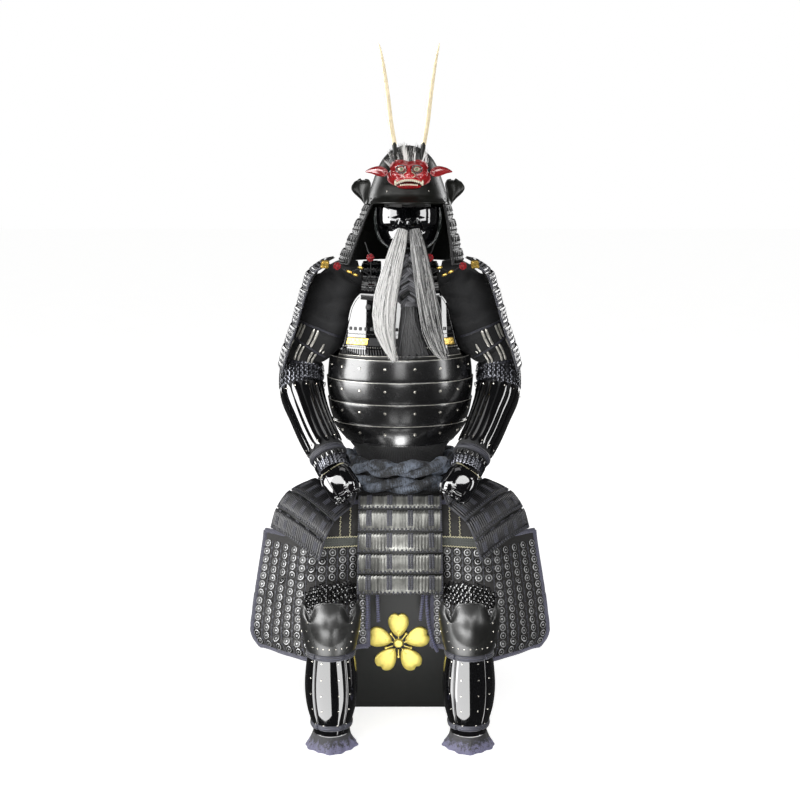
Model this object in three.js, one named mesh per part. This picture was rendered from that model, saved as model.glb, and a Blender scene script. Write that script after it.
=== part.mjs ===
// Samurai armour, worn by nobody, seated on its own armour box: helmet with demon crest, face mask,
// riveted cuirass, shoulder guards, armoured sleeves, laced skirt panels, thigh guards and shin guards.
// Millimetres, +Z up. The wearer faces -Y, so the wearer's left is +X.
// The origin is the centre of the box's underside. Every plate and cloth is a thin wall, hollow inside.
import * as THREE from "three";

// ---------------------------------------------------------------- driving sizes

const GAP = 0.3; // clear space between two pieces that meet
const PLATE = 3; // wall of a lacquered plate or lame with its lining
const CLOTH = 2.4; // wall of a sleeve, apron or hem

const BOX = { half: 200, height: 488, wall: 10, lidSkirt: 88, lidWall: 8, lidTop: 11.5 };
const LID_TOP = BOX.height + GAP + BOX.lidTop;
const STAND = { post: 20, postY: 20, shoulderZ: 1118, armHalf: 112, headZ: 1225, headRadius: 62, headTop: 1424 };

const HEAD = { x: 20, y: -25 }; // the helmet sits a little to the wearer's left
const TRUNK = { y: -30 }; // middle of the cuirass, front to back
const LEG = { x: 167, y: -418 }; // middle of a shin guard
const KNOT = { x: 22, y: -167 }; // middle of the plaited cord on the chest

// ---------------------------------------------------------------- colours

const lacquer = { color: 0x0b0b0c, roughness: 0.12, metalness: 0 };
const satinLacquer = { color: 0x191a18, roughness: 0.42, metalness: 0 };
const redLacquer = { color: 0xb01418, roughness: 0.2, metalness: 0 };
const gilt = { color: 0xe9cf86, roughness: 0.28, metalness: 1 };
const blackCloth = { color: 0x15161a, roughness: 0.85, metalness: 0 };
const navyCord = { color: 0x2b2b40, roughness: 0.7, metalness: 0 };
const beltCloth = { color: 0x6f7c90, roughness: 0.85, metalness: 0 };
const darkHair = { color: 0x2a2a2a, roughness: 0.6, metalness: 0 };
const paleHair = { color: 0xc9c7c4, roughness: 0.55, metalness: 0 };
const wood = { color: 0xa9825a, roughness: 0.6, metalness: 0 };

// ---------------------------------------------------------------- solids from rows of points

const armour = new THREE.Group();
const range = (count) => [...Array(count).keys()];
const lerp = THREE.MathUtils.lerp;
const smooth = THREE.MathUtils.smoothstep;
const radians = THREE.MathUtils.degToRad;

// One closed body from points and faces, with its faces turned outwards.
function closedBody(points, faces) {
  const volume = faces.reduce((sum, [a, b, c]) => {
    const [p, q, r] = [points[a], points[b], points[c]];
    return sum + p.dot(new THREE.Vector3().crossVectors(q, r));
  }, 0);
  const turned = volume < 0 ? faces.map(([a, b, c]) => [a, c, b]) : faces;
  const body = new THREE.BufferGeometry().setFromPoints(points);
  body.setIndex(turned.flat());
  return body;
}

function quad(a, b, c, d) {
  return [[a, b, c], [a, c, d]];
}

// A wall between an outer and an inner surface, each a list of rows of points.
// ring: the last point of a row joins its first.
function wall(outer, inner, ring = false) {
  const rows = outer.length;
  const columns = outer[0].length;
  const at = (layer, i, j) => (layer * rows + i) * columns + (j % columns);
  const faces = [];
  const spans = ring ? columns : columns - 1;
  for (let j = 0; j < spans; j++) {
    for (let i = 0; i < rows - 1; i++) {
      faces.push(...quad(at(0, i, j), at(0, i, j + 1), at(0, i + 1, j + 1), at(0, i + 1, j)));
      faces.push(...quad(at(1, i, j), at(1, i + 1, j), at(1, i + 1, j + 1), at(1, i, j + 1)));
    }
    const last = rows - 1;
    faces.push(...quad(at(0, 0, j), at(1, 0, j), at(1, 0, j + 1), at(0, 0, j + 1)));
    faces.push(...quad(at(0, last, j), at(0, last, j + 1), at(1, last, j + 1), at(1, last, j)));
  }
  if (!ring) {
    const last = columns - 1;
    for (let i = 0; i < rows - 1; i++) {
      faces.push(...quad(at(0, i, 0), at(0, i + 1, 0), at(1, i + 1, 0), at(1, i, 0)));
      faces.push(...quad(at(0, i, last), at(1, i, last), at(1, i + 1, last), at(0, i + 1, last)));
    }
  }
  return closedBody([...outer.flat(), ...inner.flat()], faces);
}

// A filled body through rings of points, its two ends closed by a fan, or its last ring joined to its first.
function loft(rings, loop = false) {
  const around = rings[0].length;
  const at = (i, j) => (i % rings.length) * around + (j % around);
  const points = rings.flat();
  const faces = [];
  const spans = loop ? rings.length : rings.length - 1;
  for (let i = 0; i < spans; i++) {
    for (let j = 0; j < around; j++) faces.push(...quad(at(i, j), at(i, j + 1), at(i + 1, j + 1), at(i + 1, j)));
  }
  if (!loop) {
    [[0, true], [rings.length - 1, false]].forEach(([i, first]) => {
      const middle = rings[i].reduce((sum, p) => sum.add(p), new THREE.Vector3()).divideScalar(around);
      const centre = points.push(middle) - 1;
      for (let j = 0; j < around; j++) {
        const [a, b] = [at(i, j), at(i, j + 1)];
        faces.push(first ? [centre, b, a] : [centre, a, b]);
      }
    });
  }
  return closedBody(points, faces);
}

// A level ring: half width, half depth and a squareness of 2 for an ellipse and more for a rounded square.
function levelRing({ x = 0, y = 0, z, wide, deep, square = 2 }, around) {
  return range(around).map((j) => {
    const angle = (2 * Math.PI * (j + 0.5)) / around;
    const [c, s] = [Math.cos(angle), Math.sin(angle)];
    const cx = Math.sign(c) * Math.abs(c) ** (2 / square);
    const sy = Math.sign(s) * Math.abs(s) ** (2 / square);
    return new THREE.Vector3(x + wide * cx, y + deep * sy, z);
  });
}

// Part of a level ring, swept to both sides of the front (-Y), or of the back.
function arcRow({ x = 0, y = 0, z, wide, deep, from, to }, columns, back = false) {
  return range(columns).map((j) => {
    const angle = lerp(from, to, j / (columns - 1));
    return new THREE.Vector3(x + wide * Math.sin(angle), y + (back ? deep : -deep) * Math.cos(angle), z);
  });
}

// Rings square to a path of points. Each row gives the middle, the radius across and the radius the other way.
function pathRings(rows, around, across) {
  const middles = rows.map((r) => new THREE.Vector3(r.x, r.y, r.z));
  let side = across.clone();
  return rows.map((r, i) => {
    const ahead = middles[Math.min(i + 1, rows.length - 1)];
    const along = ahead.clone().sub(middles[Math.max(i - 1, 0)]).normalize();
    side = side.clone().addScaledVector(along, -side.dot(along)).normalize();
    const other = new THREE.Vector3().crossVectors(along, side);
    return range(around).map((j) => {
      const angle = (2 * Math.PI * j) / around;
      return middles[i]
        .clone()
        .addScaledVector(side, r.a * Math.cos(angle))
        .addScaledVector(other, r.b * Math.sin(angle));
    });
  });
}

// The rows of a table, thinned by a wall: every radius is that much smaller.
const thinner = (rows, by) => rows.map((r) => ({ ...r, a: r.a - by, b: r.b - by }));

// Rows for lames that overlap upwards: each lame's top edge stands proud of the lame above by `step`.
// It returns the heights from the top down, as shares, with how far out each row stands.
function lameRows(edges, step) {
  return edges.slice(0, -1).flatMap((top, k) => {
    const bottom = edges[k + 1];
    const lip = k === edges.length - 2 ? 0 : 0.07 * (bottom - top);
    return [{ at: top, out: step }, { at: bottom - lip, out: 0 }];
  });
}

const even = (count) => range(count + 1).map((k) => k / count);

function piece(name, geometry, finish) {
  const mesh = new THREE.Mesh(geometry, new THREE.MeshStandardMaterial(finish));
  mesh.name = name;
  armour.add(mesh);
  return mesh;
}

// Makes a piece for the wearer's left (+X) and right (-X). make gets +1 or -1.
function pair(name, make, finish) {
  piece(`${name}_left`, make(1), finish);
  piece(`${name}_right`, make(-1), finish);
}

const mirrored = (rows, side) => rows.map((r) => ({ ...r, x: side * r.x }));

// ---------------------------------------------------------------- armour box and the stand inside

const BOX_AROUND = 16;
const BOX_SQUARE = 14;

// A rounded square tray: rows of half size and height from the middle of its inside to the middle of its outside.
function tray(rows) {
  return loft(rows.map(([half, z]) => levelRing({ z, wide: half, deep: half, square: BOX_SQUARE }, BOX_AROUND)));
}

function armourBox() {
  const { half, height, wall: thick, lidSkirt, lidWall } = BOX;
  const inside = half - thick;
  piece(
    "box_body",
    tray([[inside, thick], [inside, height], [half, height], [half, 0]]),
    satinLacquer,
  );
  const fit = half + 0.5;
  const low = LID_TOP - lidSkirt;
  const ceiling = height + GAP;
  piece(
    "box_lid",
    tray([[fit, ceiling], [fit, low], [fit + lidWall, low], [fit + lidWall, LID_TOP - 3], [fit + lidWall - 3, LID_TOP]]),
    satinLacquer,
  );
}

function woodBlock(name, [width, depth, height], [x, y, low]) {
  const block = new THREE.BoxGeometry(width, depth, height);
  piece(name, block, wood).position.set(x, y, low + height / 2);
}

function stand() {
  const { post, postY, shoulderZ, armHalf, headZ, headRadius, headTop } = STAND;
  const board = 16;
  const bar = 30;
  const barLow = shoulderZ - bar;
  woodBlock("stand_foot", [260, 180, board], [0, postY, LID_TOP + GAP]);
  const postLow = LID_TOP + board + 2 * GAP;
  woodBlock("stand_post", [2 * post, 2 * post, barLow - GAP - postLow], [0, postY, postLow]);
  woodBlock("stand_shoulder_bar", [2 * armHalf, 50, bar], [0, postY, barLow]);
  const neck = shoulderZ + GAP;
  const { x, y } = HEAD;
  const rows = [
    { z: neck, wide: post, deep: post, x: 10, y: postY },
    { z: headZ, wide: post, deep: post, x, y },
    { z: headZ + 40, wide: headRadius, deep: headRadius + 14, x, y },
    { z: headZ + 110, wide: headRadius, deep: headRadius + 14, x, y },
    { z: headTop - 34, wide: headRadius - 8, deep: headRadius + 2, x, y },
    { z: headTop, wide: 24, deep: 30, x, y },
  ];
  piece("stand_head", loft(rows.map((r) => levelRing(r, 12))), wood);
}

// ---------------------------------------------------------------- helmet

const BOWL = [
  { z: 1302, wide: 101, deep: 125 },
  { z: 1330, wide: 98, deep: 122 },
  { z: 1360, wide: 88, deep: 111 },
  { z: 1393, wide: 75, deep: 95 },
  { z: 1419, wide: 58, deep: 74 },
  { z: 1436, wide: 38, deep: 50 },
  { z: 1446, wide: 16, deep: 22 },
];
const BOWL_AROUND = 20;

// Half width and half depth of the bowl at a height.
function bowlAt(z) {
  const k = Math.max(1, BOWL.findIndex((r) => r.z >= z));
  const [low, high] = [BOWL[k - 1], BOWL[k]];
  const share = (z - low.z) / (high.z - low.z);
  return { wide: lerp(low.wide, high.wide, share), deep: lerp(low.deep, high.deep, share) };
}

function helmetBowl() {
  const outer = BOWL.map((r) => levelRing({ ...r, ...HEAD }, BOWL_AROUND));
  const inner = BOWL.map((r, i) => {
    const drop = i === 0 ? 0 : PLATE;
    return levelRing({ ...HEAD, z: r.z - drop, wide: r.wide - PLATE, deep: r.deep - PLATE }, BOWL_AROUND);
  });
  piece("helmet_bowl", loft([...inner.reverse(), ...outer]), lacquer);
}

// The brow plate hugs the bowl and flares into the peak.
function helmetPeak() {
  const columns = 13;
  const rows = [
    { z: 1352, out: 1, reach: 46 },
    { z: 1330, out: 1, reach: 52 },
    { z: 1316, out: 5, reach: 56 },
    { z: 1303, out: 24, reach: 58 },
  ];
  const surface = (extra) =>
    rows.map(({ z, out, reach }) => {
      const { wide, deep } = bowlAt(z);
      const arc = { ...HEAD, z, from: -radians(reach), to: radians(reach) };
      return arcRow({ ...arc, wide: wide + out * 0.35 + extra, deep: deep + out + extra }, columns);
    });
  piece("helmet_peak", wall(surface(CLOTH + 1.2), surface(1.2)), lacquer);
}

// Four lames round the sides and back, flaring towards the shoulders.
function neckGuard() {
  const columns = 17;
  const size = (share, out) => ({
    x: lerp(HEAD.x, 2, share),
    y: lerp(HEAD.y, -14, share),
    z: lerp(1298, 1146, share),
    wide: lerp(104, 162, share ** 0.9) + out,
    deep: lerp(128, 156, share ** 0.9) + out,
    from: radians(lerp(60, 54, share)),
    to: 2 * Math.PI - radians(lerp(60, 54, share)),
  });
  const rows = lameRows(even(4), 5);
  const surface = (extra) => rows.map(({ at, out }) => arcRow(size(at, out + extra), columns));
  piece("neck_guard", wall(surface(PLATE), surface(0)), lacquer);
}

// A turn-back: a plate runs up from the top lame's front corner and curls outwards over its middle, like an ear.
// Its front edge curls tighter than its back edge, so its face shows from the front.
const TURN_BACK = { across: 111, z: 1335, front: -106, back: -80, frontRadius: 12, backRadius: 22 };

function turnBack(side) {
  const { across, z, front, back, frontRadius, backRadius } = TURN_BACK;
  const angles = [205, 170, 130, 90, 50, 10, -40].map(radians);
  const stem = { out: -8, z: 1300.5 };
  const surface = (thick) => {
    const rows = range(4).map((k) => {
      const radius = lerp(frontRadius, backRadius, k / 3) + thick;
      const y = lerp(front, back, k / 3);
      const place = (out, up) => new THREE.Vector3(HEAD.x + side * (across + out), y, up);
      const curl = angles.map((angle) => place(radius * Math.cos(angle), z + radius * Math.sin(angle)));
      return [place(stem.out - thick, stem.z), ...curl];
    });
    return rows[0].map((_, i) => rows.map((row) => row[i]));
  };
  return wall(surface(1.2), surface(-1.2));
}

// ---------------------------------------------------------------- crest: demon face, ears, horns and fur

const CREST = { x: 22, y: -166, z: 1373 };

function crest() {
  const face = [
    { y: 14, wide: 46, high: 30, lift: 0 },
    { y: 2, wide: 55, high: 36, lift: 0 },
    { y: -10, wide: 50, high: 33, lift: 0 },
    { y: -22, wide: 34, high: 24, lift: -3 },
    { y: -29, wide: 16, high: 12, lift: -5 },
  ];
  const rings = face.map(({ y, wide, high, lift }) =>
    levelRing({ z: 0, wide, deep: high, square: 2.6 }, 14).map(
      (p) => new THREE.Vector3(CREST.x + p.x, CREST.y + y, CREST.z + lift + p.y),
    ),
  );
  piece("crest_face", loft(rings), redLacquer);
  pair("crest_ear", (side) => {
    const rows = [
      { x: 56.5, y: 0, z: 4, a: 9, b: 5 },
      { x: 72, y: 4, z: 8, a: 12, b: 6 },
      { x: 90, y: 8, z: 8, a: 8, b: 4 },
      { x: 107, y: 12, z: 6, a: 2, b: 1.5 },
    ].map((r) => ({ ...r, x: CREST.x + side * r.x, y: CREST.y + r.y, z: CREST.z + r.z }));
    return loft(pathRings(rows, 8, new THREE.Vector3(0, 0, 1)));
  }, redLacquer);
  pair("crest_horn", (side) => {
    const rows = [
      { x: 36, y: -150, z: 1446, a: 5, b: 2.2 },
      { x: 45, y: -158, z: 1500, a: 4.8, b: 2 },
      { x: 52, y: -168, z: 1560, a: 4.6, b: 1.8 },
      { x: 61, y: -179, z: 1625, a: 4.2, b: 1.6 },
      { x: 73, y: -190, z: 1684, a: 2, b: 1 },
    ].map((r) => ({ ...r, x: CREST.x + side * r.x }));
    return loft(pathRings(rows, 6, new THREE.Vector3(1, 0, 0)));
  }, gilt);
  const fur = [
    { z: 1398, wide: 56, deep: 12, y: -139 },
    { z: 1410, wide: 64, deep: 14, y: -137 },
    { z: 1428, wide: 62, deep: 14, y: -135 },
    { z: 1445, wide: 50, deep: 9, y: -135 },
  ];
  piece("crest_fur", loft(fur.map((r) => levelRing({ ...r, x: CREST.x, square: 3 }, 12))), darkHair);
}

// ---------------------------------------------------------------- face mask, moustache and throat guard

// Height from the top edge down, the ring it lies on, how far round it reaches, and how far the nose stands out.
const MASK = [
  { z: 1292, wide: 86, deep: 104, reach: 84, nose: 16 },
  { z: 1272, wide: 88, deep: 108, reach: 84, nose: 30 },
  { z: 1256, wide: 88, deep: 112, reach: 83, nose: 42 },
  { z: 1244, wide: 86, deep: 110, reach: 82, nose: 14 },
  { z: 1222, wide: 82, deep: 108, reach: 80, nose: 6 },
  { z: 1202, wide: 72, deep: 104, reach: 76, nose: 8 },
  { z: 1188, wide: 56, deep: 92, reach: 70, nose: 4 },
];

function faceMask() {
  const columns = 15;
  const surface = (thin) =>
    MASK.map(({ z, wide, deep, reach, nose }) =>
      arcRow(
        { ...HEAD, z, wide: wide - thin, deep: deep - thin, from: -radians(reach), to: radians(reach) },
        columns,
      ).map((p) => {
        const off = Math.abs(p.x - HEAD.x);
        return p.setY(p.y - nose * Math.exp(-((off / 15) ** 2)));
      }),
    );
  piece("face_mask", wall(surface(0), surface(PLATE)), lacquer);
  const bib = lameRows(even(3), 4);
  const bibRow = ({ at, out }, extra) =>
    arcRow(
      {
        x: lerp(HEAD.x, 0, at),
        y: -40,
        z: lerp(1183, 1112, at),
        wide: lerp(50, 40, at) + out + extra,
        deep: lerp(78, 104, at) + out + extra,
        from: -radians(62),
        to: radians(62),
      },
      11,
    );
  const throat = (extra) => bib.map((row) => bibRow(row, extra));
  piece("throat_guard", wall(throat(PLATE), throat(0)), lacquer);
}

// Two hanks of horsehair hang from under the nose to the chest. The rows run down each hank.
const HANK_LEFT = [
  { x: 36, y: -166, z: 1238, a: 13, b: 8 },
  { x: 44, y: -180, z: 1200, a: 19, b: 11 },
  { x: 54, y: -189, z: 1140, a: 22, b: 12 },
  { x: 66, y: -194, z: 1070, a: 24, b: 12 },
  { x: 80, y: -197, z: 1000, a: 25, b: 11 },
  { x: 98, y: -198, z: 945, a: 17, b: 8 },
  { x: 112, y: -197, z: 918, a: 5, b: 3 },
];
const HANK_RIGHT = [
  { x: 6, y: -166, z: 1238, a: 13, b: 8 },
  { x: -4, y: -180, z: 1200, a: 19, b: 11 },
  { x: -20, y: -189, z: 1140, a: 24, b: 12 },
  { x: -36, y: -194, z: 1070, a: 29, b: 12 },
  { x: -40, y: -197, z: 1000, a: 27, b: 11 },
  { x: -26, y: -198, z: 945, a: 14, b: 8 },
  { x: -14, y: -197, z: 912, a: 4, b: 3 },
];

function moustache() {
  const across = new THREE.Vector3(1, 0, 0);
  piece("moustache_left", loft(pathRings(HANK_LEFT, 8, across)), paleHair);
  piece("moustache_right", loft(pathRings(HANK_RIGHT, 8, across)), paleHair);
}

// A plaited cord knot hangs from the chin, under the hanks, with its tassel.
function chestKnot() {
  const knot = [
    { z: 1176, wide: 8, deep: 6 },
    { z: 1146, wide: 17, deep: 7 },
    { z: 1118, wide: 32, deep: 7.5 },
    { z: 1070, wide: 34, deep: 7.5 },
    { z: 1044, wide: 20, deep: 7 },
  ];
  const tassel = [
    { z: 1043, wide: 19, deep: 6, out: -8 },
    { z: 1005, wide: 26, deep: 7.5, out: -15 },
    { z: 960, wide: 35, deep: 7.5, out: -18, aside: 6 },
    { z: 918, wide: 44, deep: 6, out: -20, aside: 12 },
  ];
  const rings = (rows) =>
    rows.map(({ z, wide, deep, out = 0, aside = 0 }) =>
      levelRing({ x: KNOT.x + aside, y: KNOT.y + out, z, wide, deep }, 8),
    );
  piece("chest_knot", loft(rings(knot)), navyCord);
  piece("chest_tassel", loft(rings(tassel)), darkHair);
}

// ---------------------------------------------------------------- cuirass and shoulder straps

// The trunk from the waist up: half width and half depth at each height.
const TRUNK_ROWS = [
  { z: 690, wide: 141, deep: 130 },
  { z: 716, wide: 161, deep: 138 },
  { z: 744, wide: 174, deep: 142 },
  { z: 799, wide: 184, deep: 146 },
  { z: 855, wide: 186, deep: 146 },
  { z: 912, wide: 178, deep: 142 },
  { z: 1110, wide: 160, deep: 118 },
];
const PLATE_EDGES = [912, 855, 799, 744, 690]; // where the riveted plates meet, from the top

function trunkAt(z) {
  const k = Math.max(1, TRUNK_ROWS.findIndex((r) => r.z >= z));
  const [low, high] = [TRUNK_ROWS[k - 1], TRUNK_ROWS[k]];
  const share = (z - low.z) / (high.z - low.z);
  return { y: TRUNK.y, z, wide: lerp(low.wide, high.wide, share), deep: lerp(low.deep, high.deep, share) };
}

function trunkRow(z, out, reach, columns, back) {
  const ring = trunkAt(z);
  const arc = { from: -reach, to: reach, wide: ring.wide + out, deep: ring.deep + out };
  return arcRow({ ...ring, ...arc }, columns, back);
}

function cuirassHalf(back) {
  const columns = 15;
  const rows = lameRows(PLATE_EDGES, 3);
  const seam = Math.PI / 2 - GAP / 300;
  const surface = (extra) => rows.map(({ at, out }) => trunkRow(at, out + extra, seam, columns, back));
  return wall(surface(PLATE), surface(0));
}

// The chest and the upper back stand above the riveted plates and leave the armholes open.
const CHEST = [
  { z: 912 + GAP, reach: 158 },
  { z: 944, reach: 147 },
  { z: 975, reach: 139 },
  { z: 1010, reach: 130 },
  { z: 1046, reach: 120 },
  { z: 1068, reach: 106 },
  { z: 1082, reach: 90 },
];

function chestHalf(back) {
  const columns = 11;
  const surface = (extra) =>
    CHEST.map(({ z, reach }) => {
      const angle = Math.asin(reach / (trunkAt(z).wide + PLATE));
      return trunkRow(z, extra, angle, columns, back);
    });
  return wall(surface(PLATE), surface(0));
}

// A strap runs from the back plate over the shoulder bar to the chest plate.
const STRAP = [
  { x: 86, y: 106, z: 1090 },
  { x: 82, y: 84, z: 1126 },
  { x: 76, y: 48, z: 1143 },
  { x: 72, y: -12, z: 1148 },
  { x: 70, y: -64, z: 1144 },
  { x: 71, y: -110, z: 1121 },
  { x: 76, y: -146, z: 1088 },
];

function shoulderStrap(side) {
  const rows = mirrored(STRAP, side).map((r) => ({ ...r, a: 22, b: 2.2 }));
  return loft(pathRings(rows, 6, new THREE.Vector3(1, 0, 0)));
}

// ---------------------------------------------------------------- shoulder guards and sleeves

// The guard's outermost line from its top lame down.
const GUARD_LINE = [
  { z: 1154, x: 196 },
  { z: 1127, x: 236 },
  { z: 1085, x: 253 },
  { z: 1040, x: 267 },
  { z: 992, x: 281 },
  { z: 938, x: 301 },
  { z: 878, x: 318 },
];

function lineAt(rows, share) {
  const place = share * (rows.length - 1);
  const k = Math.min(rows.length - 2, Math.floor(place));
  const part = place - k;
  const mix = (key) => lerp(rows[k][key], rows[k + 1][key], part);
  return { x: mix("x"), y: "y" in rows[k] ? mix("y") : 0, z: mix("z") };
}

function shoulderGuard(side) {
  const columns = 7;
  const rows = lameRows(even(6), 4);
  const surface = (extra) =>
    rows.map(({ at, out }) => {
      const { x, z } = lineAt(GUARD_LINE, at);
      return range(columns).map((j) => {
        const across = (2 * j) / (columns - 1) - 1;
        const fall = 20 * across * across;
        return new THREE.Vector3(side * (x - fall + out + extra), -16 + 132 * across, z);
      });
    });
  return wall(surface(0), surface(-PLATE));
}

// The sleeve from the shoulder to the cuff: middle, radius across and radius front to back.
const SLEEVE = [
  { x: 138, y: -14, z: 1123, a: 24, b: 52 },
  { x: 163, y: -17, z: 1105, a: 40, b: 62 },
  { x: 184, y: -20, z: 1066, a: 53, b: 67 },
  { x: 200, y: -23, z: 1010, a: 59, b: 69 },
  { x: 222, y: -26, z: 954, a: 57, b: 64 },
  { x: 252, y: -28, z: 902, a: 51, b: 57 },
  { x: 258, y: -38, z: 850, a: 54, b: 54 },
  { x: 253, y: -60, z: 806, a: 54, b: 52 },
  { x: 235, y: -92, z: 762, a: 49, b: 47 },
  { x: 213, y: -128, z: 718, a: 47, b: 44 },
  { x: 190, y: -162, z: 681, a: 45, b: 41 },
  { x: 174, y: -188, z: 653, a: 41, b: 38 },
  { x: 166, y: -204, z: 636, a: 38, b: 35 },
];
const ELBOW_ROW = 6;
const SLEEVE_AROUND = 14;

function sleeveRings(side, thin) {
  return pathRings(mirrored(thinner(SLEEVE, thin), side), SLEEVE_AROUND, new THREE.Vector3(side, 0, 0));
}

function upperSleeve(side) {
  const cut = (rings) => rings.slice(0, ELBOW_ROW + 1);
  return wall(cut(sleeveRings(side, 0)), cut(sleeveRings(side, CLOTH)), true);
}

// The forearm starts a gap further on than the upper sleeve ends.
function forearm(side) {
  const cut = (rings) => {
    const rest = rings.slice(ELBOW_ROW);
    const start = rest[0].map((p, j) => p.clone().lerp(rest[1][j], 0.02));
    return [start, ...rest.slice(1)];
  };
  return wall(cut(sleeveRings(side, 0)), cut(sleeveRings(side, CLOTH)), true);
}

// The hand guard: a domed plate over the back of an empty hand that lies on the thigh, fingers inwards.
// Each row goes on along the hand from its middle, with half its width and the height of its crown.
const HAND = { x: 152, y: -250, z: 614 };
const HAND_ROWS = [
  { on: -42, half: 31, crown: 24 },
  { on: -28, half: 38, crown: 32 },
  { on: 0, half: 41, crown: 36 },
  { on: 30, half: 39, crown: 33 },
  { on: 46, half: 30, crown: 24 },
];

function handGuard(side) {
  const columns = 9;
  const along = new THREE.Vector3(-0.53 * side, -0.36, -0.77).normalize();
  const out = new THREE.Vector3(0.2 * side, -0.93, 0.3);
  const facing = out.addScaledVector(along, -out.dot(along)).normalize();
  const across = new THREE.Vector3().crossVectors(along, facing);
  const middle = new THREE.Vector3(side * HAND.x, HAND.y, HAND.z);
  const surface = (thin) =>
    HAND_ROWS.map(({ on, half, crown }) =>
      range(columns).map((j) => {
        const angle = lerp(-Math.PI / 2, Math.PI / 2, j / (columns - 1));
        const bend = Math.sign(angle) * Math.abs(Math.sin(angle)) ** 0.7;
        return middle
          .clone()
          .addScaledVector(along, on)
          .addScaledVector(across, (half - thin) * bend)
          .addScaledVector(facing, (crown - thin) * Math.cos(angle) ** 0.7 - 14);
      }),
    );
  return wall(surface(0), surface(PLATE));
}

// ---------------------------------------------------------------- waist: hanging laces and the twisted belt

function waist() {
  const laces = [
    { z: 688, wide: 138, deep: 128 },
    { z: 656, wide: 116, deep: 118 },
    { z: 612, wide: 112, deep: 116 },
    { z: 572, wide: 114, deep: 118 },
  ];
  const rings = (thin) =>
    laces.map((r) => levelRing({ y: TRUNK.y, z: r.z, wide: r.wide - thin, deep: r.deep - thin }, 20));
  piece("waist_laces", wall(rings(0), rings(CLOTH), true), blackCloth);
  const belt = { radius: 20.5, wide: 138, deep: 140 };
  [["belt_upper", 634], ["belt_lower", 592.5]].forEach(([name, z]) => {
    const around = 22;
    const sections = range(around).map((i) => {
      const angle = (2 * Math.PI * i) / around;
      return range(7).map((j) => {
        const turn = (2 * Math.PI * j) / 7;
        const out = belt.radius * Math.cos(turn);
        return new THREE.Vector3(
          (belt.wide + out) * Math.cos(angle),
          TRUNK.y + (belt.deep + out) * Math.sin(angle),
          z + belt.radius * Math.sin(turn),
        );
      });
    });
    piece(name, loft(sections, true), beltCloth);
  });
}

// ---------------------------------------------------------------- laced skirt panels

// Each panel hangs between two side lines, from its top corner to its bottom corner.
// bulge: how far its middle stands out of the straight line between them.
const FRONT_LINE = [
  { x: 102, y: -188, z: 566 },
  { x: 103, y: -214, z: 535 },
  { x: 104, y: -232, z: 482 },
  { x: 105, y: -242, z: 430 },
  { x: 106, y: -249, z: 377 },
  { x: 107, y: -255, z: 324 },
];
// The panel over the thigh fans outwards from the waist and tips down over the knee.
const THIGH_INNER = [
  { x: 113, y: -180, z: 571 },
  { x: 124, y: -212, z: 545 },
  { x: 166, y: -262, z: 516 },
  { x: 187, y: -290, z: 475 },
  { x: 201, y: -305, z: 426 },
];
const THIGH_OUTER = [
  { x: 158, y: -118, z: 590 },
  { x: 215, y: -112, z: 590 },
  { x: 280, y: -150, z: 569 },
  { x: 313, y: -171, z: 529 },
  { x: 328, y: -190, z: 480 },
];

function panel(first, second, { lames, bulge, step = 4, columns = 5, edges = even(lames) }) {
  const rows = lameRows(edges, step);
  const point = (line, at) => {
    const { x, y, z } = lineAt(line, at);
    return new THREE.Vector3(x, y, z);
  };
  const top = point(first, 0).lerp(point(second, 0), 0.5);
  const bottom = point(first, 1).lerp(point(second, 1), 0.5);
  const width = point(second, 0.5).sub(point(first, 0.5));
  const facing = new THREE.Vector3().crossVectors(bottom.clone().sub(top), width).normalize();
  const axis = new THREE.Vector3(0, TRUNK.y, top.z);
  if (facing.dot(bottom.clone().sub(axis).setZ(0)) < 0) facing.negate();
  const surface = (extra) =>
    rows.map(({ at, out }) => {
      const [a, b] = [point(first, at), point(second, at)];
      return range(columns).map((j) => {
        const share = j / (columns - 1);
        const arch = bulge * (1 - (2 * share - 1) ** 2);
        return a.clone().lerp(b, share).addScaledVector(facing, arch + out + extra);
      });
    });
  return wall(surface(0), surface(-PLATE));
}

function skirt() {
  const front = panel(FRONT_LINE, mirrored(FRONT_LINE, -1), { lames: 5, bulge: 14, columns: 7 });
  piece("skirt_front", front, lacquer);
  pair("skirt_thigh", (side) => {
    const lines = [mirrored(THIGH_INNER, side), mirrored(THIGH_OUTER, side)];
    return panel(...lines, { lames: 4, bulge: 18, step: 5 });
  }, lacquer);
  pair("skirt_side", (side) => {
    const fore = mirrored([{ x: 166, y: -86, z: 574 }, { x: 222, y: -104, z: 505 }, { x: 250, y: -112, z: 360 }], side);
    const aft = mirrored([{ x: 160, y: 56, z: 574 }, { x: 222, y: 74, z: 505 }, { x: 250, y: 82, z: 360 }], side);
    return panel(fore, aft, { lames: 5, bulge: 8 });
  }, lacquer);
  pair("skirt_back", (side) => {
    const inner = mirrored([{ x: 2, y: 128, z: 574 }, { x: 3, y: 216, z: 505 }, { x: 4, y: 236, z: 360 }], side);
    const outer = mirrored([{ x: 130, y: 118, z: 574 }, { x: 176, y: 216, z: 505 }, { x: 204, y: 236, z: 360 }], side);
    return panel(inner, outer, { lames: 5, bulge: 6 });
  }, lacquer);
}

// ---------------------------------------------------------------- thigh guards

// The apron's outline, row by row: its share of the way down and how far out its outer edge is.
const APRON = [
  { down: 0, edge: 352 },
  { down: 0.08, edge: 354 },
  { down: 0.16, edge: 357 },
  { down: 0.4, edge: 367 },
  { down: 0.68, edge: 377 },
  { down: 0.92, edge: 376 },
  { down: 1, edge: 360 },
];
const APRON_PLACE = { inner: 80, topInner: 552, topOuter: 462, bottom: 178, lidEdge: 500 };

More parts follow.
